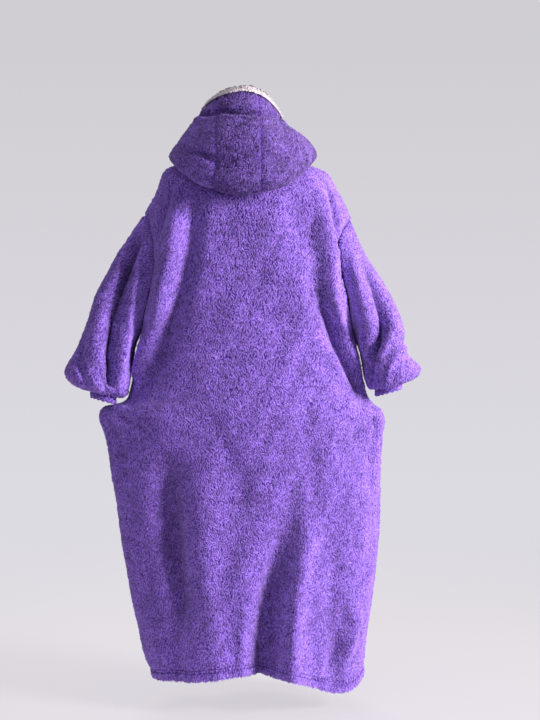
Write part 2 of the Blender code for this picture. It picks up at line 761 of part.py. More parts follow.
def main():
    clear_scene()
    garment = bpy.data.collections.new("blanket_hoodie")
    bpy.context.scene.collection.children.link(garment)
    pile = cloth_material("purple_pile", PURPLE, 0.95)
    cream = cloth_material("cream_lining", CREAM, 0.95)

    back, front = body_panel("back", BACK_COLUMNS), body_panel("front", FRONT_COLUMNS)
    sleeves = {side: sleeve_tube(side) for side in ("left", "right")}
    hood = hood_tube(back, front)

    plain = shared_normals(pieces_of(back, front, hood, sleeves))
    back = fold_body("back", back, plain["back"])
    front = fold_body("front", front, plain["front"])
    for side in sleeves:
        sleeves[side] = fold_sleeve(side, sleeves[side], plain["sleeve_" + side])
    pieces = pieces_of(back, front, hood, sleeves)
    for side, tube in sleeves.items():
        pieces["cuff_" + side] = (cuff_tube(tube), True, pieces["sleeve_" + side][2])
    normals = shared_normals(pieces)

    for name, node in (("back", "back_panel"), ("front", "front_panel")):
        wall(node, pieces[name][0], normals[name], CLOTH, False, pile, garment)
    for side in ("left", "right"):
        for piece in ("sleeve_", "cuff_"):
            name = piece + side
            wall(name, pieces[name][0], normals[name], CLOTH, True, pile, garment)
    for side, (grid, facing) in panels_of(hood, normals["hood"], BACK_COLUMNS).items():
        wall("hood_" + side, grid, facing, CLOTH, False, pile, garment)
    lining = lining_tube(hood, normals["hood"])
    facing = np.concatenate([normals["hood"], normals["hood"][-1:]])
    for side, (grid, direction) in panels_of(lining, facing, BACK_COLUMNS).items():
        wall("hood_lining_" + side, grid, direction, LINING, False, cream, garment)


main()
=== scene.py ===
import math

import bpy
import numpy as np
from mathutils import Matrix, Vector


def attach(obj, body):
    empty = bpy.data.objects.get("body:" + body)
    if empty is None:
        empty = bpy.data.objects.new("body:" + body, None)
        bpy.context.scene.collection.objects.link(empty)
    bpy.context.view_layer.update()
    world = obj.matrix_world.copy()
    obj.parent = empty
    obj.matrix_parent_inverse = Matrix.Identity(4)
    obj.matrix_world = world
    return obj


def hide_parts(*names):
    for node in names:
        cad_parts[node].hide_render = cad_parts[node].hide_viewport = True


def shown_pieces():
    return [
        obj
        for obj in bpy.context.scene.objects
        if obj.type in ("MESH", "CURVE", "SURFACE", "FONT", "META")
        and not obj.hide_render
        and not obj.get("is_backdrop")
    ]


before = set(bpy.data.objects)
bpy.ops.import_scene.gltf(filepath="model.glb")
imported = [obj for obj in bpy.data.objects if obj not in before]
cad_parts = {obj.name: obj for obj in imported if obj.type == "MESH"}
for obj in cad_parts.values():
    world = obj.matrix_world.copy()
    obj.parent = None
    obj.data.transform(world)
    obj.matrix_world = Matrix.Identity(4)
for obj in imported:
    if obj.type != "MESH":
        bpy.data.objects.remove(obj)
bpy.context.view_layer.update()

# Wearable blanket hoodie in curly pile, filled out as it hangs on a wearer: hood down on the back, arms
# lowered, the sides of the body drawn out at hip height. Metres, +Z up, the front faces -Y, so +X is the
# wearer's left. The form tables below are the solids' own: they give the outer face of the cloth, where the
# pile's tips lie.

cloth = {
    "wall": 0.005,  # backing and pile together
    "pileRoom": 0.0022,  # the knitted ground lies this far under the tips
    "seamDip": 0.0024,  # how deep a seam draws the ground in
    "seamReach": 0.0055,
    "seamGap": 0.0003,
    "liningWall": 0.003,
    "liningGap": 0.0008,
}
pile = {
    "length": 0.0108,  # a curl, along the nap
    "width": 0.0050,
    "height": 0.0036,
    "sink": 0.0006,
    "uneven": (0.8, 1.2),  # least and most of a curl's size
    "clumps": 0.18,  # how much higher whole clumps stand
    "lift": 0.35,  # height of a curl's lower end
    "crest": 0.10,  # how far down its length a curl is highest
    "crestShift": 0.25,
    "tips": (0.0, 0.15, 0.75, 0.15, 1.0),  # painted shade: how light each of a curl's five points is, darkest where it sinks into the ground
    "unruly": 0.42,
    "curlTint": 1.1,  # chance light and dark from curl to curl
    "patchTint": 0.45,  # and from patch to patch
    "patchSize": 0.03,
    "turn": 0.42,  # how far single curls turn off the nap, in radians
    "swirl": 0.65,  # how far whole patches turn
    "swirlSize": 0.035,
    "clumpSize": 0.018,
    "hollowDepth": 0.030,  # painted shade: in a fold this deep the pile's colour is darkened fully
    "foldShadeStrength": 2.6,
}


def table(columns, *rows):
    return {name: np.array([row[i] for row in rows], float) for i, name in enumerate(columns.split())}


def tables(columns, *groups):
    return [table(columns, *rows) for rows in groups]


def smooth(rows, column, at):
    # a table's column at any place, on a smooth curve through its rows, level beyond its ends
    places, values = rows["at"], rows[column]
    slopes = np.gradient(values, places)
    at = np.clip(at, places[0], places[-1])
    i = np.clip(np.searchsorted(places, at, side="right") - 1, 0, len(places) - 2)
    step = places[i + 1] - places[i]
    t = (at - places[i]) / step
    start, end = values[i], values[i + 1]
    bend = slopes[i] * (t - 2 * t**2 + t**3) + slopes[i + 1] * (t**3 - t**2)
    return start + (end - start) * (3 * t**2 - 2 * t**3) + bend * step


def smoothRings(at, rings, wanted):
    # rings of points, smoothly between the given ones
    slopes = np.gradient(rings, at, axis=0)
    i = np.clip(np.searchsorted(at, wanted, side="right") - 1, 0, len(at) - 2)
    step = (at[i + 1] - at[i])[:, None, None]
    t = (wanted - at[i])[:, None, None] / step
    bend = slopes[i] * (t - 2 * t**2 + t**3) + slopes[i + 1] * (t**3 - t**2)
    return rings[i] + (rings[i + 1] - rings[i]) * (3 * t**2 - 2 * t**3) + bend * step


def fade(t):
    t = np.clip(t, 0, 1)
    return t * t * (3 - 2 * t)


def unit(v):
    return v / np.maximum(np.linalg.norm(v, axis=-1, keepdims=True), 1e-12)


def runOf(points):
    # distance along a line of points, or along each row of a grid
    steps = np.linalg.norm(np.diff(points, axis=-2), axis=-1)
    return np.concatenate([np.zeros(steps.shape[:-1] + (1,)), np.cumsum(steps, axis=-1)], axis=-1)


def divided(points, shares):
    run = runOf(points)
    return np.stack([np.interp(shares * run[-1], run, points[:, k]) for k in range(3)], axis=1)


def softNoise(points, size, seed, waves=9):
    # smooth unevenness about as large as size, from a few waves that cross at chance angles
    rng = np.random.default_rng(seed)
    ways = unit(rng.normal(size=(waves, 3)))
    rates = 2 * math.pi / (size * rng.uniform(0.7, 1.6, waves))
    starts = rng.uniform(0, 2 * math.pi, waves)
    total = np.zeros(points.shape[:-1])
    for way, rate, start in zip(ways, rates, starts):
        total += np.sin(points @ way * rate + start)
    return total / math.sqrt(waves)


# The body

body = {
    "rows": (16, 42, 92),  # shoulder, armhole, side
    "columns": {"back": 132, "front": 90},
    "hemRows": (0.038, 0.033, 0.030, 0.028, 0.0265, 0.025, 0.0225, 0.0205, 0.019, 0.0175, 0.015, 0.011, 0.007,
                0.004, 0.0018, 0.0),
    "samples": 240,
    "rowRise": 1.5,
    "dipFrom": -0.90,
    "spacing": {"back": 0.0041, "front": 0.0049},  # from curl to curl
    "foldFade": 0.10,
    "creaseFade": 0.014,
    "sway": 0.0028,  # soft unevenness of the cloth
    "swaySize": 0.16,
    "ripple": 0.0010,
    "rippleSize": 0.045,
    "hemPlump": 0.0026,  # the doubled cloth of the hem
    "stitchRows": (0.019, 0.027),
    "stitchDip": 0.0042,
    "stitchReach": 0.0016,
    "stitch": {"pitch": 0.0055, "length": 0.0040, "thick": 0.0007, "ends": 0.006},
    "hemEdgeDip": 0.0012,
    "hemEdgeReach": 0.0025,
    "plumpFade": 0.004,
    "flatAtSeam": 0.55,  # how much shorter the pile is there
    "flatAtStitch": 0.65,
    "splitRow": 75,  # the back's pile is made in two meshes, above and below this row
}
shoulder = {
    "left": table(
        "at x y z",
        (0.00, 0.0980, 0.000, 0.0000),
        (0.25, 0.1500, -0.004, -0.0370),
        (0.52, 0.2050, -0.006, -0.0550),
        (0.78, 0.2290, -0.004, -0.1170),
        (1.00, 0.2540, 0.000, -0.1640),
    ),
    "right": table(
        "at x y z",
        (0.00, 0.0980, 0.000, 0.0000),
        (0.25, 0.1500, -0.004, -0.0370),
        (0.52, 0.2070, -0.006, -0.0590),
        (0.78, 0.2430, -0.004, -0.1180),
        (1.00, 0.2700, 0.000, -0.1780),
    ),
}
armhole = {
    ("left", "back"): table(
        "at x y z",
        (0.00, 0.2540, 0.000, -0.1640),
        (0.16, 0.2400, 0.040, -0.2040),
        (0.34, 0.2300, 0.070, -0.2540),
        (0.54, 0.2280, 0.082, -0.3140),
        (0.74, 0.2420, 0.082, -0.3740),
        (0.90, 0.2560, 0.058, -0.4330),
        (1.00, 0.2620, 0.012, -0.4700),
    ),
    ("left", "front"): table(
        "at x y z",
        (0.00, 0.2540, 0.000, -0.1640),
        (0.16, 0.2480, -0.042, -0.2040),
        (0.34, 0.2400, -0.076, -0.2540),
        (0.54, 0.2340, -0.090, -0.3200),
        (0.74, 0.2400, -0.082, -0.3780),
        (0.90, 0.2560, -0.044, -0.4340),
        (1.00, 0.2620, 0.012, -0.4700),
    ),
    ("right", "back"): table(
        "at x y z",
        (0.00, 0.2700, 0.000, -0.1780),
        (0.16, 0.2460, 0.040, -0.2100),
        (0.34, 0.2380, 0.072, -0.2580),
        (0.54, 0.2460, 0.089, -0.3220),
        (0.74, 0.2590, 0.086, -0.3820),
        (0.90, 0.2680, 0.058, -0.4380),
        (1.00, 0.2750, 0.012, -0.4760),
    ),
    ("right", "front"): table(
        "at x y z",
        (0.00, 0.2700, 0.000, -0.1780),
        (0.16, 0.2630, -0.042, -0.2180),
        (0.34, 0.2530, -0.076, -0.2680),
        (0.54, 0.2480, -0.090, -0.3300),
        (0.74, 0.2540, -0.082, -0.3880),
        (0.90, 0.2660, -0.044, -0.4400),
        (1.00, 0.2750, 0.012, -0.4760),
    ),
}
sideSeam = {
    "left": table(
        "at x y z",
        (0.000, 0.2620, 0.012, -0.4700),
        (0.100, 0.2780, 0.012, -0.5500),
        (0.165, 0.2875, 0.012, -0.6050),
        (0.205, 0.2990, 0.011, -0.6400),
        (0.235, 0.3240, 0.010, -0.6540),
        (0.265, 0.3620, 0.008, -0.6600),
        (0.290, 0.3740, 0.006, -0.6780),
        (0.345, 0.3610, 0.005, -0.7320),
        (0.450, 0.3450, 0.005, -0.8250),
        (0.550, 0.3280, 0.005, -0.9200),
        (0.700, 0.3060, 0.006, -1.0640),
        (0.850, 0.2770, 0.008, -1.2120),
        (0.930, 0.2560, 0.010, -1.2950),
        (1.000, 0.2360, 0.012, -1.3530),
    ),
    "right": table(
        "at x y z",
        (0.000, 0.2750, 0.012, -0.4760),
        (0.100, 0.2930, 0.012, -0.5540),
        (0.165, 0.3010, 0.012, -0.6000),
        (0.205, 0.3110, 0.011, -0.6330),
        (0.235, 0.3280, 0.010, -0.6530),
        (0.265, 0.3500, 0.008, -0.6680),
        (0.290, 0.3590, 0.006, -0.6880),
        (0.345, 0.3550, 0.005, -0.7340),
        (0.450, 0.3490, 0.005, -0.8280),
        (0.550, 0.3490, 0.005, -0.9280),
        (0.700, 0.3370, 0.006, -1.0780),
        (0.850, 0.3160, 0.006, -1.2160),
        (0.930, 0.3080, 0.008, -1.2860),
        (1.000, 0.3040, 0.014, -1.3480),
    ),
}
middle = {  # at: 0 neck, 1 shoulder point, 2 underarm, 3 hem
    "back": table(
        "at y z bulge",
        (0.00, 0.074, 0.0060, 1.00),
        (0.35, 0.108, -0.0450, 1.00),
        (0.70, 0.131, -0.1010, 0.95),
        (1.00, 0.145, -0.1520, 0.90),
        (1.50, 0.151, -0.3050, 0.85),
        (2.00, 0.149, -0.4500, 0.95),
        (2.18, 0.149, -0.5850, 1.10),
        (2.32, 0.151, -0.7100, 1.15),
        (2.55, 0.160, -0.9150, 1.05),
        (2.80, 0.174, -1.1500, 0.95),
        (3.00, 0.182, -1.3180, 0.90),
    ),
    "front": table(
        "at y z bulge",
        (0.00, -0.100, -0.0780, 1.00),
        (0.35, -0.124, -0.1180, 1.00),
        (0.70, -0.143, -0.1620, 0.95),
        (1.00, -0.156, -0.2050, 0.90),
        (1.50, -0.174, -0.3350, 0.85),
        (2.00, -0.180, -0.4650, 0.95),
        (2.18, -0.182, -0.5950, 1.10),
        (2.32, -0.185, -0.7150, 1.15),
        (2.55, -0.191, -0.9200, 1.05),
        (2.80, -0.199, -1.1600, 0.95),
        (3.00, -0.204, -1.3540, 0.90),
    ),
}
hemDip = table("at drop", (-1.00, 0.000), (-0.90, 0.026), (-0.80, 0.036), (-0.60, 0.028), (-0.44, 0.015),
               (-0.30, 0.007), (-0.10, 0.000), (0.42, 0.008), (1.00, 0.000))
bodyFolds = {  # at: depth below the neck, x: place across, out: height
    "back": tables("at x out width",
        [(0.08, 0.16, 0, 0.024), (0.18, 0.171, 0.02, 0.024), (0.27, 0.181, 0.026, 0.024),
         (0.39, 0.209, 0.026, 0.022), (0.49, 0.238, 0.022, 0.019), (0.57, 0.27, 0.016, 0.016),
         (0.64, 0.305, 0, 0.016)],
        [(0.08, 0.112, 0, 0.03), (0.18, 0.126, -0.014, 0.026), (0.27, 0.136, -0.018, 0.026),
         (0.39, 0.164, -0.02, 0.026), (0.49, 0.196, -0.02, 0.024), (0.57, 0.233, -0.018, 0.02),
         (0.64, 0.282, -0.006, 0.018), (0.72, 0.31, 0, 0.018)],
        [(0.1, -0.185, 0, 0.02), (0.18, -0.198, 0.01, 0.02), (0.27, -0.213, 0.014, 0.02),
         (0.39, -0.226, 0.016, 0.018), (0.49, -0.255, 0.014, 0.015), (0.58, -0.285, 0.01, 0.013),
         (0.64, -0.31, 0, 0.013)],
        [(0.12, -0.14, 0, 0.032), (0.27, -0.174, -0.012, 0.03), (0.39, -0.188, -0.018, 0.026),
         (0.47, -0.225, -0.022, 0.019), (0.53, -0.247, -0.02, 0.016), (0.58, -0.271, -0.016, 0.014),
         (0.65, -0.305, 0, 0.014)],
        [(0.84, -0.118, 0, 0.034), (0.96, -0.096, -0.01, 0.032), (1.04, -0.076, -0.02, 0.03),
         (1.13, -0.054, -0.032, 0.03), (1.25, -0.042, -0.042, 0.03), (1.34, -0.04, -0.048, 0.03)],
        [(0.95, -0.14, 0, 0.04), (1.12, -0.12, 0.012, 0.036), (1.34, -0.115, 0.018, 0.034)],
        [(0.7, 0.184, 0, 0.04), (0.85, 0.184, -0.013, 0.034), (0.98, 0.182, -0.022, 0.032),
         (1.12, 0.172, -0.02, 0.032), (1.34, 0.15, -0.01, 0.036)],
        [(0.78, 0.105, 0, 0.045), (0.98, 0.098, 0.012, 0.038), (1.16, 0.086, 0.016, 0.036),
         (1.34, 0.066, 0.014, 0.036)],
        [(0.92, -0.215, 0, 0.03), (1.1, -0.222, -0.01, 0.03), (1.25, -0.226, -0.014, 0.026),
         (1.36, -0.232, -0.008, 0.026)],
    ),
    "front": tables("at x out width",
        [(0.2, 0.15, 0, 0.036), (0.45, 0.185, -0.018, 0.036), (0.6, 0.236, -0.018, 0.03),
         (0.74, 0.3, 0, 0.026)],
        [(0.2, -0.155, 0, 0.036), (0.45, -0.195, -0.018, 0.036), (0.6, -0.246, -0.018, 0.03),
         (0.74, -0.3, 0, 0.026)],
        [(0.55, 0.03, 0, 0.06), (0.95, 0.07, -0.02, 0.048), (1.36, 0.095, -0.042, 0.042)],
        [(0.6, -0.06, 0, 0.06), (1, -0.11, -0.018, 0.048), (1.36, -0.13, -0.036, 0.044)],
        [(0.8, -0.02, 0, 0.05), (1.1, -0.018, 0.014, 0.046), (1.36, -0.015, 0.02, 0.044)],
    ),
}
# How the side seams stand out under the arms.
sideSwell = table("at out", (-0.20, 0.000), (0.50, 0.000), (0.54, 0.004), (0.58, 0.006), (0.62, 0.007),
                  (0.65, 0.004), (0.68, 0.000), (1.45, 0.000))
# Smaller creases, as lines over x and z with their height and width at each point.
bodyCreases = {
    "back": tables("x z out width",
        [(0.186, -0.088, 0, 0.006), (0.19, -0.112, -0.012, 0.007), (0.206, -0.174, -0.02, 0.008),
         (0.216, -0.214, -0.014, 0.008), (0.22, -0.25, 0, 0.007)],
        [(-0.206, -0.1, 0, 0.006), (-0.212, -0.12, -0.009, 0.006), (-0.221, -0.174, -0.014, 0.007),
         (-0.229, -0.214, -0.016, 0.007), (-0.236, -0.256, -0.008, 0.006)],
        [(0.141, -0.11, 0, 0.01), (0.138, -0.177, -0.005, 0.01), (0.141, -0.246, -0.009, 0.01),
         (0.154, -0.308, -0.01, 0.01), (0.171, -0.37, -0.01, 0.009), (0.183, -0.419, -0.01, 0.009),
         (0.203, -0.46, -0.01, 0.008), (0.216, -0.502, -0.011, 0.008), (0.233, -0.541, -0.011, 0.008),
         (0.258, -0.571, -0.01, 0.007), (0.283, -0.6, -0.009, 0.007), (0.298, -0.616, -0.004, 0.007)],
        [(-0.176, -0.33, 0, 0.012), (-0.193, -0.403, -0.007, 0.01), (-0.23, -0.472, -0.012, 0.008),
         (-0.25, -0.526, -0.012, 0.008), (-0.275, -0.584, -0.01, 0.007), (-0.296, -0.616, -0.004, 0.007)],
        [(-0.098, -0.94, 0, 0.012), (-0.08, -1.01, -0.008, 0.012), (-0.055, -1.1, -0.014, 0.012),
         (-0.036, -1.24, -0.015, 0.012), (-0.031, -1.32, -0.01, 0.012)],
        [(-0.004, -1.13, 0, 0.016), (0.004, -1.24, 0.01, 0.016), (0.006, -1.32, 0.01, 0.016)],
        [(-0.29, -1.17, 0, 0.012), (-0.285, -1.2, 0.01, 0.011), (-0.271, -1.24, 0.012, 0.011),
         (-0.254, -1.285, 0.01, 0.011), (-0.246, -1.33, 0.004, 0.011)],
        [(-0.262, -1.13, 0, 0.016), (-0.252, -1.2, -0.012, 0.015), (-0.236, -1.26, -0.013, 0.014),
         (-0.214, -1.3, -0.006, 0.014)],
        [(0.318, -0.68, -0.012, 0.008), (0.272, -0.7, -0.007, 0.012), (0.215, -0.742, 0, 0.014)],
        [(0.34, -0.69, -0.008, 0.008), (0.312, -0.77, -0.008, 0.01), (0.296, -0.88, -0.004, 0.012),
         (0.288, -0.96, 0, 0.012)],
        [(-0.33, -0.69, -0.01, 0.008), (-0.285, -0.722, -0.007, 0.012), (-0.232, -0.79, 0, 0.014)],
        [(-0.336, -0.7, -0.008, 0.008), (-0.318, -0.79, -0.007, 0.01), (-0.308, -0.9, 0, 0.012)],
        [(-0.135, -0.86, 0, 0.02), (-0.118, -0.95, -0.01, 0.022), (-0.096, -1.05, -0.018, 0.024),
         (-0.076, -1.15, -0.023, 0.026), (-0.064, -1.25, -0.025, 0.027), (-0.06, -1.34, -0.018, 0.027)],
        [(-0.17, -0.88, 0, 0.024), (-0.15, -1, 0.008, 0.022), (-0.128, -1.12, 0.012, 0.02),
         (-0.116, -1.24, 0.013, 0.02), (-0.112, -1.34, 0.01, 0.02)],
        [(0.205, -0.76, 0, 0.03), (0.2, -0.874, -0.02, 0.034), (0.188, -1.016, -0.028, 0.034),
         (0.165, -1.13, -0.016, 0.028), (0.15, -1.2, 0, 0.026)],
        [(0.148, -1.14, 0, 0.03), (0.136, -1.22, 0.018, 0.034), (0.128, -1.34, 0.022, 0.036)],
        [(0.356, -0.664, 0, 0.004), (0.352, -0.7, -0.009, 0.005), (0.346, -0.75, -0.008, 0.005),
         (0.34, -0.8, 0, 0.005)],
        [(0.12, -0.64, 0, 0.02), (0.06, -0.73, -0.005, 0.022), (0.01, -0.85, -0.004, 0.022),
         (-0.01, -0.96, 0, 0.022)],
        [(-0.15, -0.6, 0, 0.02), (-0.16, -0.72, -0.006, 0.022), (-0.172, -0.86, -0.006, 0.024),
         (-0.18, -0.98, 0, 0.024)],
    ),
    "front": tables("x z out width",
        [(0.318, -0.68, -0.012, 0.008), (0.262, -0.705, -0.008, 0.012), (0.19, -0.76, 0, 0.016)],
        [(-0.33, -0.69, -0.01, 0.008), (-0.27, -0.73, -0.008, 0.012), (-0.2, -0.8, 0, 0.016)],
        [(0.232, -0.3, -0.006, 0.01), (0.18, -0.4, -0.01, 0.014), (0.11, -0.5, 0, 0.018)],
        [(-0.245, -0.31, -0.006, 0.01), (-0.19, -0.41, -0.01, 0.014), (-0.12, -0.51, 0, 0.018)],
    ),
}


def edgeLine(side, face, stage):
    places = (shoulder[side], armhole[side, face], sideSeam[side])
    lines = [np.stack([smooth(rows, axis, stage - k) for axis in "xyz"], axis=-1)
             for k, rows in enumerate(places)]
    found = np.where((stage <= 1)[:, None], lines[0], np.where((stage <= 2)[:, None], lines[1], lines[2]))
    return found * ((1 if side == "left" else -1), 1, 1)


def bodySections(face, stage):
    # every section as an arc from the right edge through the middle to the left edge
    across = np.linspace(-1, 1, body["samples"] + 1)
    turn = np.abs(across) * math.pi / 2
    rise = np.clip(np.cos(turn), 0, None)
    left, right = edgeLine("left", face, stage), edgeLine("right", face, stage)
    edge = np.where((across > 0)[None, :, None], left[:, None], right[:, None])
    rows = middle[face]
    middleY, middleZ, bulge = (smooth(rows, column, stage)[:, None] for column in ("y", "z", "bulge"))
    x = edge[..., 0] * np.sin(turn)
    y = edge[..., 1] + (middleY - edge[..., 1]) * rise**bulge
    z = edge[..., 2] + (middleZ - edge[..., 2]) * rise ** body["rowRise"]
    if face == "back":
        felt = np.clip((body["dipFrom"] - z) / (body["dipFrom"] - rows["z"][-1]), 0, None) ** 2
        z = z - smooth(hemDip, "drop", np.copysign(np.sin(turn), across)) * felt
    return np.stack([x, y, z], axis=-1)


def columnShares(count):
    # columns a little closer together at the seams
    k = np.arange(count + 1) / count
    return 0.6 * k + 0.4 * (1 - np.cos(math.pi * k)) / 2


def bodyStages():
    drop = sideSeam["left"]["z"][0] - sideSeam["left"]["z"][-1]
    top, arm, side = body["rows"]
    hem = 3 - np.array(body["hemRows"]) / drop
    return np.concatenate([
        np.linspace(0, 1, top + 1),
        np.linspace(1, 2, arm + 1)[1:],
        np.linspace(2, hem[0], side + 1)[1:],
        hem[1:],
    ])


def bodyGrid(face):
    shares = columnShares(body["columns"][face])
    return np.array([divided(section, shares) for section in bodySections(face, bodyStages())])


# The sleeves and cuffs

sleeve = {
    "rows": 66,
    "gathers": 15,  # soft gathers where a sleeve ends
    "gatherDepth": 0.0016,
    "gatherFrom": 0.80,
    "sway": 0.0030,
    "swaySize": 0.11,
    "faceFade": 2.5,
    "creaseFade": 2,
    "endFade": 13,
    "wander": 0.9,  # how far the gathers stray
    "wanderSize": 0.09,
    "flatAtSeam": 0.5,
    "cuffRows": 8,
    "spacing": {"sleeve": 0.0043, "cuff": 0.0048},
}
sleeveForm = {  # where each section crosses the arm's outer and inner side, and half its depth round midY
    "left": table(
        "at outerX outerZ innerX innerZ midY depth",
        (0.14, 0.3140, -0.254, 0.281, -0.500, 0.006, 0.096),
        (0.34, 0.3730, -0.362, 0.287, -0.545, 0.018, 0.094),
        (0.54, 0.4110, -0.468, 0.291, -0.590, 0.030, 0.088),
        (0.66, 0.4270, -0.507, 0.295, -0.610, 0.036, 0.080),
        (0.80, 0.4580, -0.566, 0.299, -0.626, 0.040, 0.078),
        (0.92, 0.4340, -0.602, 0.308, -0.634, 0.040, 0.062),
        (1.00, 0.3960, -0.617, 0.324, -0.636, 0.038, 0.043),
    ),
    "right": table(
        "at outerX outerZ innerX innerZ midY depth",
        (0.14, 0.3080, -0.266, 0.289, -0.504, 0.006, 0.096),
        (0.34, 0.3600, -0.350, 0.297, -0.545, 0.018, 0.094),
        (0.54, 0.4060, -0.460, 0.303, -0.580, 0.030, 0.088),
        (0.66, 0.4120, -0.512, 0.307, -0.596, 0.036, 0.078),
        (0.80, 0.4480, -0.556, 0.311, -0.608, 0.040, 0.076),
        (0.92, 0.4340, -0.585, 0.318, -0.616, 0.040, 0.060),
        (1.00, 0.4020, -0.597, 0.328, -0.616, 0.038, 0.041),
    ),
}
sleeveFolds = {  # at: depth below the neck, x: place across, out: height
    "left": {
        "back": tables("at x out width",
            [(0.17, 0.24, 0, 0.016), (0.22, 0.262, -0.01, 0.018), (0.27, 0.284, -0.018, 0.02),
             (0.34, 0.303, -0.026, 0.021), (0.42, 0.323, -0.029, 0.022), (0.52, 0.335, -0.027, 0.021),
             (0.58, 0.331, -0.018, 0.018), (0.63, 0.326, -0.004, 0.015)],
            [(0.2, 0.236, 0, 0.014), (0.26, 0.248, 0.005, 0.015), (0.34, 0.264, 0.008, 0.016),
             (0.42, 0.282, 0.008, 0.016), (0.52, 0.304, 0.006, 0.014), (0.6, 0.312, 0.002, 0.012)],
        ),
        "front": tables("at x out width",
            [(0.22, 0.262, 0, 0.022), (0.36, 0.304, -0.022, 0.024), (0.5, 0.338, -0.022, 0.022),
             (0.6, 0.358, 0, 0.02)],
        ),
    },
    "right": {
        "back": tables("at x out width",
            [(0.26, -0.292, 0, 0.014), (0.31, -0.305, -0.012, 0.014), (0.37, -0.33, -0.022, 0.016),
             (0.44, -0.347, -0.03, 0.016), (0.485, -0.333, -0.032, 0.014), (0.52, -0.318, -0.03, 0.012),
             (0.56, -0.312, -0.024, 0.011), (0.61, -0.322, -0.006, 0.01)],
            [(0.23, -0.255, 0, 0.016), (0.31, -0.274, 0.01, 0.018), (0.37, -0.292, 0.014, 0.018),
             (0.44, -0.305, 0.014, 0.018), (0.5, -0.299, 0.01, 0.012), (0.56, -0.292, 0, 0.012)],
        ),
        "front": tables("at x out width",
            [(0.22, -0.262, 0, 0.022), (0.36, -0.3, -0.022, 0.024), (0.5, -0.33, -0.022, 0.022),
             (0.6, -0.35, 0, 0.02)],
        ),
    },
}
# Smaller creases on the back of the sleeves, as lines over x and z.
sleeveCreases = {
    "left": tables("x z out width",
        [(0.402, -0.482, 0, 0.006), (0.411, -0.502, -0.01, 0.007), (0.419, -0.528, -0.014, 0.007),
         (0.414, -0.553, -0.014, 0.007), (0.399, -0.586, -0.012, 0.007), (0.391, -0.612, -0.008, 0.007)],
        [(0.36, -0.56, 0, 0.008), (0.356, -0.59, -0.008, 0.007), (0.346, -0.62, -0.01, 0.006)],
        [(0.345, -0.3, 0, 0.01), (0.362, -0.38, 0.006, 0.012), (0.38, -0.47, 0.006, 0.012),
         (0.385, -0.54, 0, 0.012)],
        [(0.27, -0.222, -0.016, 0.014), (0.299, -0.296, -0.04, 0.015), (0.318, -0.357, -0.05, 0.016),
         (0.328, -0.42, -0.054, 0.015), (0.334, -0.481, -0.052, 0.013), (0.338, -0.542, -0.044, 0.011),
         (0.331, -0.602, -0.018, 0.008)],
        [(0.262, -0.25, 0.006, 0.012), (0.274, -0.296, 0.014, 0.014), (0.286, -0.357, 0.019, 0.014),
         (0.298, -0.42, 0.02, 0.013), (0.306, -0.481, 0.019, 0.011), (0.314, -0.542, 0.015, 0.009),
         (0.318, -0.595, 0.006, 0.008)],
    ),
    "right": tables("x z out width",
        [(-0.349, -0.43, 0, 0.007), (-0.346, -0.448, -0.01, 0.007), (-0.332, -0.485, -0.014, 0.007),
         (-0.316, -0.518, -0.013, 0.007), (-0.311, -0.56, -0.008, 0.007)],
        [(-0.402, -0.508, 0.006, 0.008), (-0.38, -0.522, 0.008, 0.008), (-0.362, -0.552, 0.008, 0.008),
         (-0.354, -0.6, 0.004, 0.008)],
        [(-0.398, -0.488, -0.01, 0.008), (-0.372, -0.504, -0.009, 0.008), (-0.35, -0.53, -0.006, 0.008)],
        [(-0.33, -0.3, 0, 0.012), (-0.352, -0.38, 0.005, 0.014), (-0.376, -0.45, 0.005, 0.014),
         (-0.385, -0.49, 0, 0.014)],
    ),
}
cuffForm = table("at below size", (0.0, 0.000, 1.00), (0.5, 0.008, 0.95), (1.0, 0.016, 0.93))


def sleeveGrid(side):
    # from the outer side round the back to the inner side and round the front; the first ring is the armhole
    mirror = 1 if side == "left" else -1
    half = body["rows"][1]
    shares = np.linspace(1, 2, half + 1)
    ring = np.concatenate([edgeLine(side, "back", shares), edgeLine(side, "front", shares)[::-1][1:-1]])
    rows = sleeveForm[side]
    turns = np.linspace(0, 2 * math.pi, 2 * half, endpoint=False)[:, None]
    rings = [ring]
    for i in range(len(rows["at"])):
        outer = np.array([mirror * rows["outerX"][i], rows["midY"][i], rows["outerZ"][i]])
        inner = np.array([mirror * rows["innerX"][i], rows["midY"][i], rows["innerZ"][i]])
        depth = np.array([0, rows["depth"][i], 0])
        rings.append((outer + inner) / 2 + (outer - inner) / 2 * np.cos(turns) + depth * np.sin(turns))
    at = np.concatenate([[0], rows["at"]])
    return smoothRings(at, np.array(rings), np.linspace(0, 1, sleeve["rows"] + 1))


def cuffGrid(end):
    centre = end.mean(axis=0)
    rings = []
    for share in np.linspace(0, 1, sleeve["cuffRows"] + 1):
        below, size = smooth(cuffForm, "below", share), smooth(cuffForm, "size", share)
        rings.append(centre + (end - centre) * size - (0, 0, below))
    return np.array(rings)


# The hood and its lining

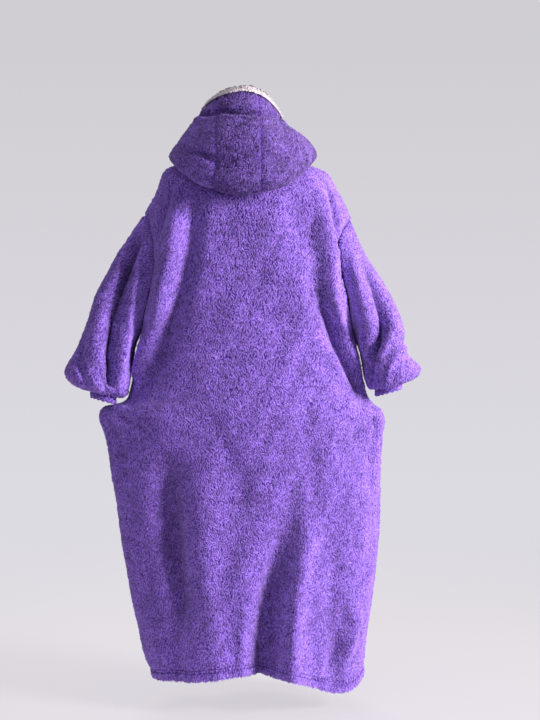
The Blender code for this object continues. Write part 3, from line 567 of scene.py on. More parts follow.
hood = {
    "outside": 32,  # columns of each outer panel behind, and of the centre strip
    "strip": 40,
    "front": 72,
    "rowStep": 0.0052,
    "samples": 200,
    "drop": 1.4,
    "stripShare": 9 / 30,  # where the strip's seams start on the neck line
    "sway": 0.0022,
    "swaySize": 0.09,
    "spacing": 0.0040,
    "creaseFromRow": 6.0,  # only the layer that is turned over is creased
    "creaseFromY": 0.02,
    "creaseFade": 0.05,
    "pileFromRow": 4.0,
    "flatAtSeam": 0.5,
    "flatAtRim": 0.3,
    "panelShade": {"right": -3.2, "centre": -3.0, "left": -1.8},  # painted shade: how much darker each panel's pile is made
}
hoodForm = table(
    "backY backZ leftX leftY leftZ rightX rightY rightZ frontY frontZ stripLeft stripRight",
    (0.082, 0.020, 0.1030, 0.004, 0.012, 0.1030, 0.004, 0.012, -0.109, -0.074, 0.052, 0.051),
    (0.099, 0.028, 0.1150, 0.010, 0.013, 0.1140, 0.010, 0.013, -0.121, -0.084, 0.053, 0.050),
    (0.117, 0.008, 0.1310, 0.018, 0.003, 0.1290, 0.018, 0.003, -0.133, -0.094, 0.056, 0.048),
    (0.132, -0.040, 0.1450, 0.026, -0.010, 0.1410, 0.026, -0.009, -0.144, -0.100, 0.060, 0.046),
    (0.150, -0.090, 0.1580, 0.032, -0.022, 0.1520, 0.032, -0.020, -0.154, -0.101, 0.066, 0.044),
    (0.178, -0.121, 0.1720, 0.036, -0.032, 0.1630, 0.036, -0.029, -0.161, -0.095, 0.072, 0.042),
    (0.216, -0.129, 0.1850, 0.040, -0.033, 0.1745, 0.040, -0.030, -0.163, -0.084, 0.077, 0.041),
    (0.246, -0.103, 0.1900, 0.042, -0.022, 0.1800, 0.042, -0.019, -0.159, -0.072, 0.077, 0.040),
    (0.236, -0.064, 0.1830, 0.042, -0.006, 0.1750, 0.042, -0.003, -0.152, -0.061, 0.071, 0.041),
    (0.238, -0.018, 0.1690, 0.042, 0.014, 0.1610, 0.040, 0.013, -0.144, -0.051, 0.070, 0.041),
    (0.208, 0.034, 0.1500, 0.040, 0.040, 0.1370, 0.036, 0.034, -0.136, -0.041, 0.072, 0.040),
    (0.162, 0.066, 0.1300, 0.034, 0.067, 0.1070, 0.030, 0.054, -0.128, -0.032, 0.072, 0.038),
    (0.154, 0.096, 0.1180, 0.030, 0.080, 0.0960, 0.026, 0.066, -0.121, -0.024, 0.072, 0.037),
    (0.121, 0.139, 0.1000, 0.028, 0.094, 0.0820, 0.024, 0.082, -0.112, -0.016, 0.070, 0.036),
)
# Creases of the hood's outer layer, as lines over x and z with their height and width at each point.
hoodCreases = tables("x z out width",
    [(0.122, 0.079, -0.009, 0.006), (0.096, 0.074, -0.013, 0.006), (0.074, 0.077, -0.012, 0.006),
     (0.052, 0.082, -0.013, 0.006), (0.042, 0.075, -0.013, 0.006), (0.01, 0.073, -0.011, 0.006),
     (-0.04, 0.07, -0.01, 0.006), (-0.095, 0.072, -0.006, 0.006)],
    [(0.12, 0.064, 0.004, 0.008), (0.07, 0.062, 0.006, 0.008), (0.03, 0.06, 0.006, 0.008),
     (-0.045, 0.057, 0.005, 0.008), (-0.09, 0.058, 0.003, 0.008)],
    [(0.142, -0.022, 0, 0.005), (0.13, -0.027, -0.01, 0.005), (0.107, -0.029, -0.014, 0.006),
     (0.086, -0.042, -0.015, 0.006), (0.08, -0.047, -0.008, 0.005)],
    [(0.15, -0.01, 0.003, 0.009), (0.11, -0.012, 0.006, 0.009), (0.084, -0.022, 0.003, 0.009)],
    [(0.165, -0.034, 0, 0.009), (0.12, -0.044, 0.006, 0.009), (0.086, -0.06, 0.003, 0.009)],
    [(0.06, -0.018, -0.003, 0.007), (0.02, -0.029, -0.008, 0.008), (-0.03, -0.022, -0.004, 0.008),
     (-0.036, -0.016, 0, 0.008)],
    [(-0.05, -0.04, 0, 0.014), (-0.09, -0.05, -0.005, 0.014), (-0.14, -0.03, 0, 0.014)],
    [(-0.06, 0.01, 0, 0.014), (-0.1, 0, -0.004, 0.014), (-0.13, 0.01, 0, 0.014)],
)
lining = {
    # how far it stands above the rim, and how far it comes down outside
    "lip": {"back": 0.008, "left": 0.007, "right": 0.019, "front": 0.006},
    "lipRows": 8,
    "over": {"back": 0.013, "left": 0.007, "right": 0.020, "front": 0.005},
    "lipRoll": 0.0020,  # how far it stands off the rim outside
    "nubSpacing": 0.0062,
    "notchX": 0.015,  # a small dent where the centre strip ends at the rim
    "notchWidth": 0.006,
    "nubWidth": 0.0084,
    "nubHeight": 0.0034,
    "nubSides": 5,
    "nubWidths": (0.75, 1.25),  # least and most of a nub's size
    "nubHeights": (0.7, 1.3),
    "nubSink": 0.0004,
    "nubTint": 0.8,
    # painted shade: a nub's foot is made nearly as dark as the cream's root colour
    "nubFoot": 0.1,
    "notchDepth": 0.8,
}


def hoodArc(given, end, start, stop):
    turn = np.linspace(start, stop, hood["samples"] + 1)
    lean = np.clip(np.cos(turn), 0, None)
    x, y, z = (np.where(turn > 0, given["left" + axis], given["right" + axis]) for axis in "XYZ")
    return np.stack([
        np.sign(turn) * x * np.abs(np.sin(turn)),
        y + (given[end + "Y"] - y) * lean,
        z + (given[end + "Z"] - z) * lean ** hood["drop"],
    ], axis=1)


def hoodGrid(back, front):
    # rings from the right side round the back to the left side and round the front
    outside, strip, ahead = (np.linspace(0, 1, hood[k] + 1) for k in ("outside", "strip", "front"))
    share = hood["stripShare"]
    neck = np.concatenate([
        divided(back[0], outside * share),
        divided(back[0], share + strip * (1 - 2 * share))[1:],
        divided(back[0], 1 - share + outside * share)[1:],
        divided(front[0][::-1], ahead)[1:-1],
    ])
    quarter = math.pi / 2
    rings = [neck]
    for row in range(len(hoodForm["backY"])):
        given = {name: values[row] for name, values in hoodForm.items()}
        seamLeft = math.asin(given["stripLeft"] / given["leftX"])
        seamRight = -math.asin(given["stripRight"] / given["rightX"])
        rings.append(np.concatenate([
            divided(hoodArc(given, "back", -quarter, seamRight), outside),
            divided(hoodArc(given, "back", seamRight, seamLeft), strip)[1:],
            divided(hoodArc(given, "back", seamLeft, quarter), outside)[1:],
            divided(hoodArc(given, "front", quarter, -quarter), ahead)[1:-1],
        ]))
    rings = np.array(rings)
    behind = rings[:, hood["outside"] + hood["strip"] // 2]
    lengths = np.linalg.norm(np.diff(behind, axis=0), axis=1)
    at = [np.linspace(k, k + 1, max(2, round(length / hood["rowStep"])), endpoint=False)
          for k, length in enumerate(lengths)]
    at = np.concatenate(at + [[len(rings) - 1.0]])
    return at, smoothRings(np.arange(len(rings), dtype=float), rings, at)


# Normals, folds and creases

def facingSums(grid, closed):
    # at each point, its corners' unit normals, each times the corner's angle
    total = np.zeros_like(grid)
    rows, columns = grid.shape[:2]
    for down in (-1, 1):
        i = np.arange(max(0, -down), rows - max(0, down))
        for right in (-1, 1):
            j = np.arange(columns)
            if not closed:
                j = j[max(0, -right):columns - max(0, right)]
            here = grid[np.ix_(i, j)]
            alongRow = grid[np.ix_(i, (j + right) % columns)] - here
            alongColumn = grid[np.ix_(i + down, j)] - here
            facing = np.cross(alongRow, alongColumn) * down * right
            size = np.linalg.norm(facing, axis=2, keepdims=True)
            angle = np.arctan2(size, (alongRow * alongColumn).sum(axis=2, keepdims=True))
            total[np.ix_(i, j)] += facing / np.maximum(size, 1e-12) * angle
    return total


def sharedNormals(pieces):
    # normals that are equal where pieces meet at a seam
    points = np.concatenate([grid.reshape(-1, 3) for grid, _, _ in pieces.values()])
    sums = np.concatenate([
        facingSums(grid, closed).reshape(-1, 3) * turned for grid, closed, turned in pieces.values()])
    _, group = np.unique(np.round(points, 6), axis=0, return_inverse=True)
    group = group.ravel()
    total = np.zeros((group.max() + 1, 3))
    np.add.at(total, group, sums)
    normals, found, start = unit(total[group]), {}, 0
    for name, (grid, _, _) in pieces.items():
        count = grid.shape[0] * grid.shape[1]
        found[name] = normals[start:start + count].reshape(grid.shape)
        start += count
    return found


def piecesOf(back, front, hoodRings, sleeves):
    found = {"back": (back, False, 1), "front": (front, False, -1), "hood": (hoodRings, True, -1)}
    for side, tube in sleeves.items():
        found["sleeve" + side] = (tube, True, -1 if side == "left" else 1)
    return found


def foldHeight(folds, depth, across):
    height = np.zeros(depth.shape)
    for rows in folds:
        reach = (across - smooth(rows, "x", depth)) / smooth(rows, "width", depth)
        height += smooth(rows, "out", depth) * np.exp(-reach**2)
    return height


def creaseHeight(lines, x, z):
    # each line is a table of x, z, out and width; a crease is deepest on its line
    height = np.zeros(x.shape)
    for rows in lines:
        nearest = np.full(x.shape, np.inf)
        out, width = np.zeros(x.shape), np.ones(x.shape)
        for k in range(len(rows["x"]) - 1):
            stepX, stepZ = rows["x"][k + 1] - rows["x"][k], rows["z"][k + 1] - rows["z"][k]
            t = ((x - rows["x"][k]) * stepX + (z - rows["z"][k]) * stepZ) / (stepX**2 + stepZ**2)
            t = np.clip(t, 0, 1)
            away = np.hypot(x - rows["x"][k] - t * stepX, z - rows["z"][k] - t * stepZ)
            closer = away < nearest
            nearest = np.where(closer, away, nearest)
            out = np.where(closer, rows["out"][k] + t * (rows["out"][k + 1] - rows["out"][k]), out)
            width = np.where(closer, rows["width"][k] + t * (rows["width"][k + 1] - rows["width"][k]), width)
        height += out * np.exp(-((nearest / width) ** 2))
    return height


hollows = {}  # how far each piece's surface was moved, for the painted shade in the pile's folds


def foldedBody(face, grid, normals):
    columns = grid.shape[1] - 1
    share = columnShares(columns)
    inset = fade(np.minimum(share, 1 - share) * 2 / body["foldFade"])
    height = foldHeight(bodyFolds[face], -grid[..., 2], grid[..., 0]) * inset
    across = runOf(grid)
    apart = fade(np.minimum(across, across[:, -1:] - across) / body["creaseFade"])
    height += creaseHeight(bodyCreases[face], grid[..., 0], grid[..., 2]) * apart
    height += smooth(sideSwell, "out", -grid[..., 2]) * (1 - apart)
    height += body["sway"] * softNoise(grid, body["swaySize"], 11) * inset
    height += body["ripple"] * softNoise(grid, body["rippleSize"], 12) * inset
    hollows[face] = height
    return grid + normals * height[..., None]


def foldedSleeve(side, grid, normals):
    rows, columns = grid.shape[:2]
    share = np.linspace(0, 1, rows)[:, None]
    turn = 360 * np.arange(columns)[None, :] / columns
    height = np.zeros((rows, columns))
    facing = np.sin(np.radians(turn)) * np.ones((rows, 1))
    for face, sign in (("back", 1), ("front", -1)):
        shown = np.clip(sign * facing * sleeve["faceFade"], 0, 1)
        height += foldHeight(sleeveFolds[side][face], -grid[..., 2], grid[..., 0]) * shown
    height += creaseHeight(sleeveCreases[side], grid[..., 0], grid[..., 2]) * np.clip(
        facing * sleeve["creaseFade"], 0, 1)
    inset = fade(share * sleeve["endFade"]) * fade((1 - share) * sleeve["endFade"])
    height = height * inset
    height += sleeve["sway"] * softNoise(grid, sleeve["swaySize"], 21) * inset
    gathered = fade((share - sleeve["gatherFrom"]) / (1 - sleeve["gatherFrom"]))
    wander = sleeve["wander"] * softNoise(grid, sleeve["wanderSize"], 22)
    height += sleeve["gatherDepth"] * gathered * np.cos(np.radians(turn) * sleeve["gathers"] + wander)
    hollows["sleeve" + side] = height
    return grid + normals * height[..., None]


def foldedHood(at, grid, normals):
    inset = fade(at / 2)[:, None] * fade(len(hoodForm["backY"]) - at)[:, None]
    height = hood["sway"] * softNoise(grid, hood["swaySize"], 31) * inset
    outer = fade(at - hood["creaseFromRow"])[:, None]
    outer = outer * fade((grid[..., 1] - hood["creaseFromY"]) / hood["creaseFade"])
    height += creaseHeight(hoodCreases, grid[..., 0], grid[..., 2]) * outer
    hollows["hood"] = height
    return grid + normals * height[..., None]


# Meshes

def newMesh(name, points, faces, materials, slots=None):
    mesh = bpy.data.meshes.new(name)
    mesh.vertices.add(len(points))
    mesh.vertices.foreach_set("co", np.asarray(points, np.float32).ravel())
    corners = np.concatenate([face.ravel() for face in faces]).astype(np.int32)
    sizes = np.concatenate([np.full(len(face), face.shape[1]) for face in faces])
    mesh.loops.add(len(corners))
    mesh.loops.foreach_set("vertex_index", corners)
    mesh.polygons.add(len(sizes))
    mesh.polygons.foreach_set("loop_start", np.concatenate([[0], np.cumsum(sizes)[:-1]]).astype(np.int32))
    mesh.update(calc_edges=True)
    for material in materials:
        mesh.materials.append(material)
    if slots is not None:
        mesh.polygons.foreach_set("material_index", slots.astype(np.int32))
    mesh.shade_smooth()
    made = bpy.data.objects.new(name, mesh)
    bpy.context.scene.collection.objects.link(made)
    return made


def giveValues(made, name, values):
    layer = made.data.attributes.new(name, "FLOAT", "POINT")
    layer.data.foreach_set("value", np.asarray(values, np.float32).ravel())


def trimmed(points, closed):
    result = points.copy()
    for edge, inside in ((0, 1), (-1, -2)):
        result[edge] += unit(points[inside] - points[edge]) * cloth["seamGap"] / 2
        if not closed:
            result[:, edge] += unit(points[:, inside] - points[:, edge]) * cloth["seamGap"] / 2
    return result


def shellOf(name, outer, inner, closed, turned, materials):
    # one piece of cloth: an outer face, an inner face and the rims between them
    rows, columns = outer.shape[:2]
    index = np.arange(rows * columns).reshape(rows, columns)
    far = index + rows * columns
    here = np.arange(columns if closed else columns - 1)
    after = (here + 1) % columns

    def quads(a, b, c, d):
        return np.stack([a.ravel(), b.ravel(), c.ravel(), d.ravel()], axis=1)

    outside = quads(index[:-1, here], index[:-1, after], index[1:, after], index[1:, here])
    inside = quads(far[:-1, here], far[1:, here], far[1:, after], far[:-1, after])
    rims = [
        quads(index[0, after], index[0, here], far[0, here], far[0, after]),
        quads(index[-1, here], index[-1, after], far[-1, after], far[-1, here]),
    ]
    if not closed:
        rims += [
            quads(index[:-1, 0], index[1:, 0], far[1:, 0], far[:-1, 0]),
            quads(index[1:, -1], index[:-1, -1], far[:-1, -1], far[1:, -1]),
        ]
    faces = np.concatenate([outside, inside] + rims)
    if turned < 0:
        faces = faces[:, ::-1]
    slots = np.zeros(len(faces))
    slots[len(outside):len(outside) + len(inside)] = 1
    points = np.concatenate([outer.reshape(-1, 3), inner.reshape(-1, 3)])
    return newMesh(name, points, [faces], materials, slots)


def surfaceAt(values, row, column, closed):
    # a grid's values at places between its points
    rows, columns = values.shape[:2]
    i = np.clip(row.astype(int), 0, rows - 2)
    t = (row - i).reshape((-1,) + (1,) * (values.ndim - 2))
    if closed:
        j = column.astype(int) % columns
        k = (j + 1) % columns
    else:
        j = np.clip(column.astype(int), 0, columns - 2)
        k = j + 1
    s = (column - np.floor(column)) if closed else column - j
    s = s.reshape(t.shape)
    top = values[i, j] * (1 - s) + values[i, k] * s
    low = values[i + 1, j] * (1 - s) + values[i + 1, k] * s
    return top * (1 - t) + low * t


def spread(points, closed, spacing, rng):
    # places at an even, slightly unruly spacing all over a grid, as rows and columns
    if closed:
        points = np.concatenate([points, points[:, :1]], axis=1)
    rows, columns = points.shape[:2]
    steps = np.linalg.norm(np.diff(points, axis=0), axis=2)
    longest = np.percentile(steps, 92, axis=1)
    depth = np.concatenate([[0], np.cumsum(longest)])
    found = []
    for start in np.arange(spacing / 2, depth[-1], spacing):
        row = np.interp(start, depth, np.arange(rows))
        i = min(int(row), rows - 2)
        line = points[i] * (1 - row + i) + points[i + 1] * (row - i)
        run = runOf(line)
        count = max(int(run[-1] / spacing), 1)
        at = (np.arange(count) + 0.5 + rng.uniform(-pile["unruly"], pile["unruly"], count)) * run[-1] / count
        column = np.interp(at, run, np.arange(columns))
        row = np.interp(start + rng.uniform(-0.5, 0.5, count) * spacing, depth, np.arange(rows))
        i = np.clip(row.astype(int), 0, rows - 2)
        share = steps[i, np.clip(column.astype(int), 0, columns - 1)] / longest[i]
        chosen = rng.uniform(0, 1, count) < share
        found.append(np.stack([row[chosen], column[chosen]], axis=1))
    found = np.concatenate(found)
    return found[:, 0], found[:, 1] % (columns - 1) if closed else found[:, 1]


def curls(name, base, normal, nap, size, tint, material, seed):
    # every curl is a small ridge of four faces that lies along the nap, with its lower end lifted
    rng = np.random.default_rng(seed)
    count = len(base)
    swirl = pile["swirl"] * softNoise(base, pile["swirlSize"], 5)
    turn = swirl + pile["turn"] * rng.normal(size=count)
    nap = unit(nap - normal * (nap * normal).sum(axis=1, keepdims=True))
    side = np.cross(normal, nap)
    along = nap * np.cos(turn)[:, None] + side * np.sin(turn)[:, None]
    across = np.cross(normal, along)
    uneven = rng.uniform(*pile["uneven"], (count, 3))
    clump = 1 + pile["clumps"] * softNoise(base, pile["clumpSize"], 6)
    length = (pile["length"] * size * uneven[:, 0])[:, None]
    width = (pile["width"] * size * uneven[:, 1])[:, None]
    height = (pile["height"] * size * uneven[:, 2] * clump)[:, None]
    low = normal * pile["sink"]
    shift = rng.uniform(-pile["crestShift"], pile["crestShift"], (count, 1))
    points = np.stack([
        base - along * length / 2 - low,
        base + across * width / 2 - low,
        base + along * length / 2 + normal * height * pile["lift"],
        base - across * width / 2 - low,
        base + along * length * pile["crest"] + across * width * shift + normal * height,
    ], axis=1)
    faces = np.array([[1, 0, 4], [2, 1, 4], [3, 2, 4], [0, 3, 4]])
    faces = (np.arange(count)[:, None, None] * 5 + faces[None]).reshape(-1, 3)
    made = newMesh(name, points.reshape(-1, 3), [faces], [material])
    # painted shade: each point's lightness, dark at the curl's root
    giveValues(made, "tip", np.tile(pile["tips"], (count, 1)))
    giveValues(made, "tint", np.repeat(tint + rng.normal(size=count) * pile["curlTint"], 5))
    return made


# Materials

def newMaterial(name, roughness, sheen=0.0, sheenTint=(1, 1, 1)):
    material = bpy.data.materials.new(name)
    material.use_nodes = True
    shader = material.node_tree.nodes["Principled BSDF"]
    shader.inputs["Roughness"].default_value = roughness
    shader.inputs["Metallic"].default_value = 0.0
    shader.inputs["Specular IOR Level"].default_value = 0.2
    shader.inputs["Sheen Weight"].default_value = sheen
    shader.inputs["Sheen Roughness"].default_value = 0.45
    shader.inputs["Sheen Tint"].default_value = (*sheenTint, 1)
    return material, material.node_tree.nodes, material.node_tree.links, shader


def ramp(nodes, links, source, stops):
    made = nodes.new("ShaderNodeValToRGB")
    elements = made.color_ramp.elements
    while len(elements) < len(stops):
        elements.new(0.5)
    for element, (at, colour) in zip(elements, stops):
        element.position = at
        element.color = (*colour, 1)
    links.new(source, made.inputs["Fac"])
    return made.outputs["Color"]


def readValue(nodes, name):
    made = nodes.new("ShaderNodeAttribute")
    made.attribute_name = name
    return made.outputs["Fac"]


def scaled(nodes, links, source, low, high, fromLow=0.0, fromHigh=1.0):
    made = nodes.new("ShaderNodeMapRange")
    made.inputs["From Min"].default_value = fromLow
    made.inputs["From Max"].default_value = fromHigh
    made.inputs["To Min"].default_value = low
    made.inputs["To Max"].default_value = high
    links.new(source, made.inputs["Value"])
    return made.outputs["Result"]


def noise(nodes, links, size, detail=2.0, stretch=(1, 1, 1)):
    place = nodes.new("ShaderNodeTexCoord")
    mapping = nodes.new("ShaderNodeMapping")
    mapping.inputs["Scale"].default_value = stretch
    links.new(place.outputs["Object"], mapping.inputs["Vector"])
    made = nodes.new("ShaderNodeTexNoise")
    made.inputs["Scale"].default_value = 1 / size
    made.inputs["Detail"].default_value = detail
    links.new(mapping.outputs["Vector"], made.inputs["Vector"])
    return made.outputs["Fac"]


def shaded(nodes, links, colour, amounts):
    # a colour made lighter or darker by several amounts round 1
    value = amounts[0]
    for other in amounts[1:]:
        product = nodes.new("ShaderNodeMath")
        product.operation = "MULTIPLY"
        links.new(value, product.inputs[0])
        links.new(other, product.inputs[1])
        value = product.outputs[0]
    made = nodes.new("ShaderNodeVectorMath")
    made.operation = "SCALE"
    links.new(colour, made.inputs[0])
    links.new(value, made.inputs["Scale"])
    return made.outputs["Vector"]


def bumped(nodes, links, shader, source, distance, strength=0.6):
    made = nodes.new("ShaderNodeBump")
    made.inputs["Strength"].default_value = strength
    made.inputs["Distance"].default_value = distance
    links.new(source, made.inputs["Height"])
    links.new(made.outputs["Normal"], shader.inputs["Normal"])


# The pile's colours: the dark root and middle tones paint the shade where the curls meet the ground, the tip
# colour is the pile's own.
purple = {
    "root": (0.040, 0.012, 0.180),
    "middle": (0.205, 0.098, 0.520),
    "tip": (0.440, 0.262, 0.830),
    "sheen": 0.13,
    "sheenTint": (0.72, 0.56, 1.00),
    "patchSize": 0.07,
    "patch": 0.10,
}


def pileMaterial():
    material, nodes, links, shader = newMaterial("purplePile", 0.88, purple["sheen"], purple["sheenTint"])
    # painted shade: each curl darker towards its root
    colour = ramp(nodes, links, readValue(nodes, "tip"), [
        (0.0, purple["root"]),
        (0.45, purple["middle"]),
        (1.0, purple["tip"]),
    ])
    patches = noise(nodes, links, purple["patchSize"], 3.0, (1, 1, 0.6))
    # the tint value holds random tone together with the painted shade of folds and hood panels
    amounts = [
        scaled(nodes, links, readValue(nodes, "tint"), 0.10, 1.90, -6.0, 6.0),
        scaled(nodes, links, patches, 1 - purple["patch"], 1 + purple["patch"], 0.3, 0.7),
    ]
    links.new(shaded(nodes, links, colour, amounts), shader.inputs["Base Color"])
    bumped(nodes, links, shader, noise(nodes, links, 0.0012, 2.0), 0.0006, 0.5)
    return material


def groundMaterial():
    material, nodes, links, shader = newMaterial("purpleGround", 0.92, 0.15, purple["sheenTint"])
    # painted shade: the ground under the curls takes the pile's dark root and middle tones
    colour = ramp(nodes, links, noise(nodes, links, 0.0045, 2.0), [
        (0.30, purple["root"]),
        (0.62, purple["middle"]),
    ])
    patches = noise(nodes, links, purple["patchSize"], 3.0, (1, 1, 0.6))
    amounts = [scaled(nodes, links, patches, 1 - purple["patch"], 1 + purple["patch"], 0.3, 0.7)]
    links.new(shaded(nodes, links, colour, amounts), shader.inputs["Base Color"])
    bumped(nodes, links, shader, noise(nodes, links, 0.004, 3.0), 0.002, 0.8)
    return material


def backingMaterial():
    # the plain knitted back of the cloth, seen inside the garment
    material, nodes, links, shader = newMaterial("knitBacking", 0.85)
    wave = nodes.new("ShaderNodeTexWave")
    wave.bands_direction = "X"
    wave.inputs["Scale"].default_value = 110
    wave.inputs["Distortion"].default_value = 1.5
    place = nodes.new("ShaderNodeTexCoord")
    links.new(place.outputs["Object"], wave.inputs["Vector"])
    colour = ramp(nodes, links, wave.outputs["Fac"], [
        (0.1, (0.105, 0.050, 0.300)),
        (0.9, (0.190, 0.100, 0.450)),
    ])
    amounts = [scaled(nodes, links, noise(nodes, links, 0.03, 3.0), 0.88, 1.12)]
    links.new(shaded(nodes, links, colour, amounts), shader.inputs["Base Color"])
    bumped(nodes, links, shader, wave.outputs["Fac"], 0.0006, 0.5)
    return material


def creamMaterial(name, root, tip):
    material, nodes, links, shader = newMaterial(name, 0.9, 0.25, (1.0, 0.92, 0.95))
    colour = ramp(nodes, links, readValue(nodes, "tip"), [(0.0, root), (1.0, tip)])
    amounts = [
        scaled(nodes, links, readValue(nodes, "tint"), 0.86, 1.12, -2.0, 2.0),
        scaled(nodes, links, noise(nodes, links, 0.02, 2.0), 0.92, 1.06),
    ]
    links.new(shaded(nodes, links, colour, amounts), shader.inputs["Base Color"])
    bumped(nodes, links, shader, noise(nodes, links, 0.002, 3.0), 0.001, 0.6)
    return material


def threadMaterial():
    material, nodes, links, shader = newMaterial("thread", 0.6)
    colour = ramp(nodes, links, noise(nodes, links, 0.0008, 2.0), [
        (0.3, (0.060, 0.025, 0.190)),
        (0.7, (0.130, 0.065, 0.340)),
    ])
    amounts = [scaled(nodes, links, noise(nodes, links, 0.05, 1.0), 0.9, 1.1)]
    links.new(shaded(nodes, links, colour, amounts), shader.inputs["Base Color"])
    return material


# Building

pilePurple, groundPurple = pileMaterial(), groundMaterial()
backing, thread = backingMaterial(), threadMaterial()
# painted shade: the nubs' colour runs from a darker root at their feet to the cream of their tops
creamNubs = creamMaterial("creamSherpa", (0.52, 0.42, 0.47), (0.88, 0.81, 0.84))
creamCloth = creamMaterial("creamGround", (0.66, 0.57, 0.61), (0.80, 0.72, 0.76))

back, front = bodyGrid("back"), bodyGrid("front")
hoodAt, hoodRings = hoodGrid(back, front)
sleeves = {side: sleeveGrid(side) for side in ("left", "right")}
plain = sharedNormals(piecesOf(back, front, hoodRings, sleeves))
back = foldedBody("back", back, plain["back"])
front = foldedBody("front", front, plain["front"])
hoodRings = foldedHood(hoodAt, hoodRings, plain["hood"])
for side in sleeves:
    sleeves[side] = foldedSleeve(side, sleeves[side], plain["sleeve" + side])
pieces = piecesOf(back, front, hoodRings, sleeves)
for side, tube in sleeves.items():
    pieces["cuff" + side] = (cuffGrid(tube[-1]), True, pieces["sleeve" + side][2])
normals = sharedNormals(pieces)
print("forms worked out:", {name: grid.shape[:2] for name, (grid, _, _) in pieces.items()})


def edgeDips(run):
    return np.exp(-((run / cloth["seamReach"]) ** 2))


def bodyLayers(face):
    # how deep the ground lies under the tips, and how long the pile stands, all over a panel
    grid = pieces[face][0]
    across = runOf(grid)
    toSeam = np.minimum(across, across[:, -1:] - across)
    down = runOf(grid.transpose(1, 0, 2)).T
    toHem = down[-1:] - down
    grooves = sum(np.exp(-(((toHem - at) / body["stitchReach"]) ** 2)) for at in body["stitchRows"])
    folded = fade((body["stitchRows"][0] - toHem) / body["plumpFade"] + 0.5)
    dip = cloth["seamDip"] * edgeDips(toSeam) + body["stitchDip"] * grooves
    dip += body["hemEdgeDip"] * np.exp(-((toHem / body["hemEdgeReach"]) ** 2)) - body["hemPlump"] * folded
    size = (1 - body["flatAtSeam"] * edgeDips(toSeam)) * (1 - body["flatAtStitch"] * np.clip(grooves, 0, 1))
    return dip, size, toHem


def clothPiece(name, node, grid, facing, dip, closed, turned, wall, materials):
    outer = trimmed(grid - facing * (cloth["pileRoom"] + dip)[..., None], closed)
    inner = trimmed(grid - facing * wall, closed)
    made = shellOf(name, outer, inner, closed, turned, materials)
    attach(made, "root")
    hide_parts(node)
    return made, outer


def pileOn(name, outer, facing, size, nap, hollow, closed, spacing, seed, keep=None, shade=0.0):
    rng = np.random.default_rng(seed)
    row, column = spread(outer, closed, spacing, rng)
    if keep is not None:
        chosen = surfaceAt(keep, row, column, closed) > 0.5
        row, column = row[chosen], column[chosen]
    base = surfaceAt(outer, row, column, closed)
    normal = unit(surfaceAt(facing, row, column, closed))
    way = surfaceAt(nap, row, column, closed)
    # painted shade: curls deep in a fold are darkened, and each hood panel by its own shade
    paintedFoldShade = np.clip(surfaceAt(hollow, row, column, closed) / pile["hollowDepth"], -1, 0)
    tint = pile["patchTint"] * softNoise(base, pile["patchSize"], 7) + shade + pile["foldShadeStrength"] * paintedFoldShade
    made = curls(name, base, normal, way, surfaceAt(size, row, column, closed), tint, pilePurple, seed + 1)
    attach(made, "root")
    return made


def downward(grid):
    return np.broadcast_to(np.array([0.0, 0.0, -1.0]), grid.shape)


def stitchesOn(name, outer, facing, toHem):
    # two rows of short stitches that lie in the grooves above the hem
    stitch = body["stitch"]
    points, faces = [], []
    for at in body["stitchRows"]:
        rows = np.array([np.interp(-at, -toHem[:, j], np.arange(len(toHem))) for j in range(toHem.shape[1])])
        line = surfaceAt(outer, rows, np.arange(toHem.shape[1]) * 1.0, False)
        out = unit(surfaceAt(facing, rows, np.arange(toHem.shape[1]) * 1.0, False))
        run = runOf(line)
        middles = np.arange(stitch["ends"], run[-1] - stitch["ends"], stitch["pitch"])
        for middleAt in middles:
            ends = [middleAt - stitch["length"] / 2, middleAt, middleAt + stitch["length"] / 2]
            way = [np.array([np.interp(end, run, line[:, k]) for k in range(3)]) for end in ends]
            up = unit(np.array([np.interp(middleAt, run, out[:, k]) for k in range(3)]))
            along = unit(way[2] - way[0])
            side = np.cross(up, along) * stitch["thick"]
            up = up * stitch["thick"]
            start = len(points)
            points += [way[0] - up * 0.3, way[1] + side, way[1] + up * 1.3, way[1] - side, way[2] - up * 0.3,
                       way[1] - up]
            faces += [[start + a, start + b, start + c] for a, b, c in (
                (0, 2, 1), (0, 3, 2), (4, 1, 2), (4, 2, 3), (0, 1, 5), (0, 5, 3), (4, 5, 1), (4, 3, 5))]
    made = newMesh(name, np.array(points), [np.array(faces)], [thread])
    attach(made, "root")
    return made


def buildBody():
    for seed, face in ((100, "back"), (200, "front")):
        grid, closed, turned = pieces[face]
        dip, size, toHem = bodyLayers(face)
        made, outer = clothPiece(face + "Panel", face + "_panel", grid, normals[face], dip, closed, turned,
                                 cloth["wall"], [groundPurple, backing])
        facing = normals[face]
        bands = {"": (0, len(grid))}
        if face == "back":
            bands = {"Upper": (0, body["splitRow"] + 1), "Lower": (body["splitRow"], len(grid))}
        parts = []
        for part, (first, last) in bands.items():
            band = [values[first:last] for values in (outer, facing, size, downward(grid), hollows[face])]
            parts.append(pileOn(face + "Pile" + part, *band, False, body["spacing"][face], seed + first))
        parts.append(stitchesOn(face + "HemStitches", outer, facing, toHem))
        sheets[face] = (made, parts)
        print(face, "panel built")


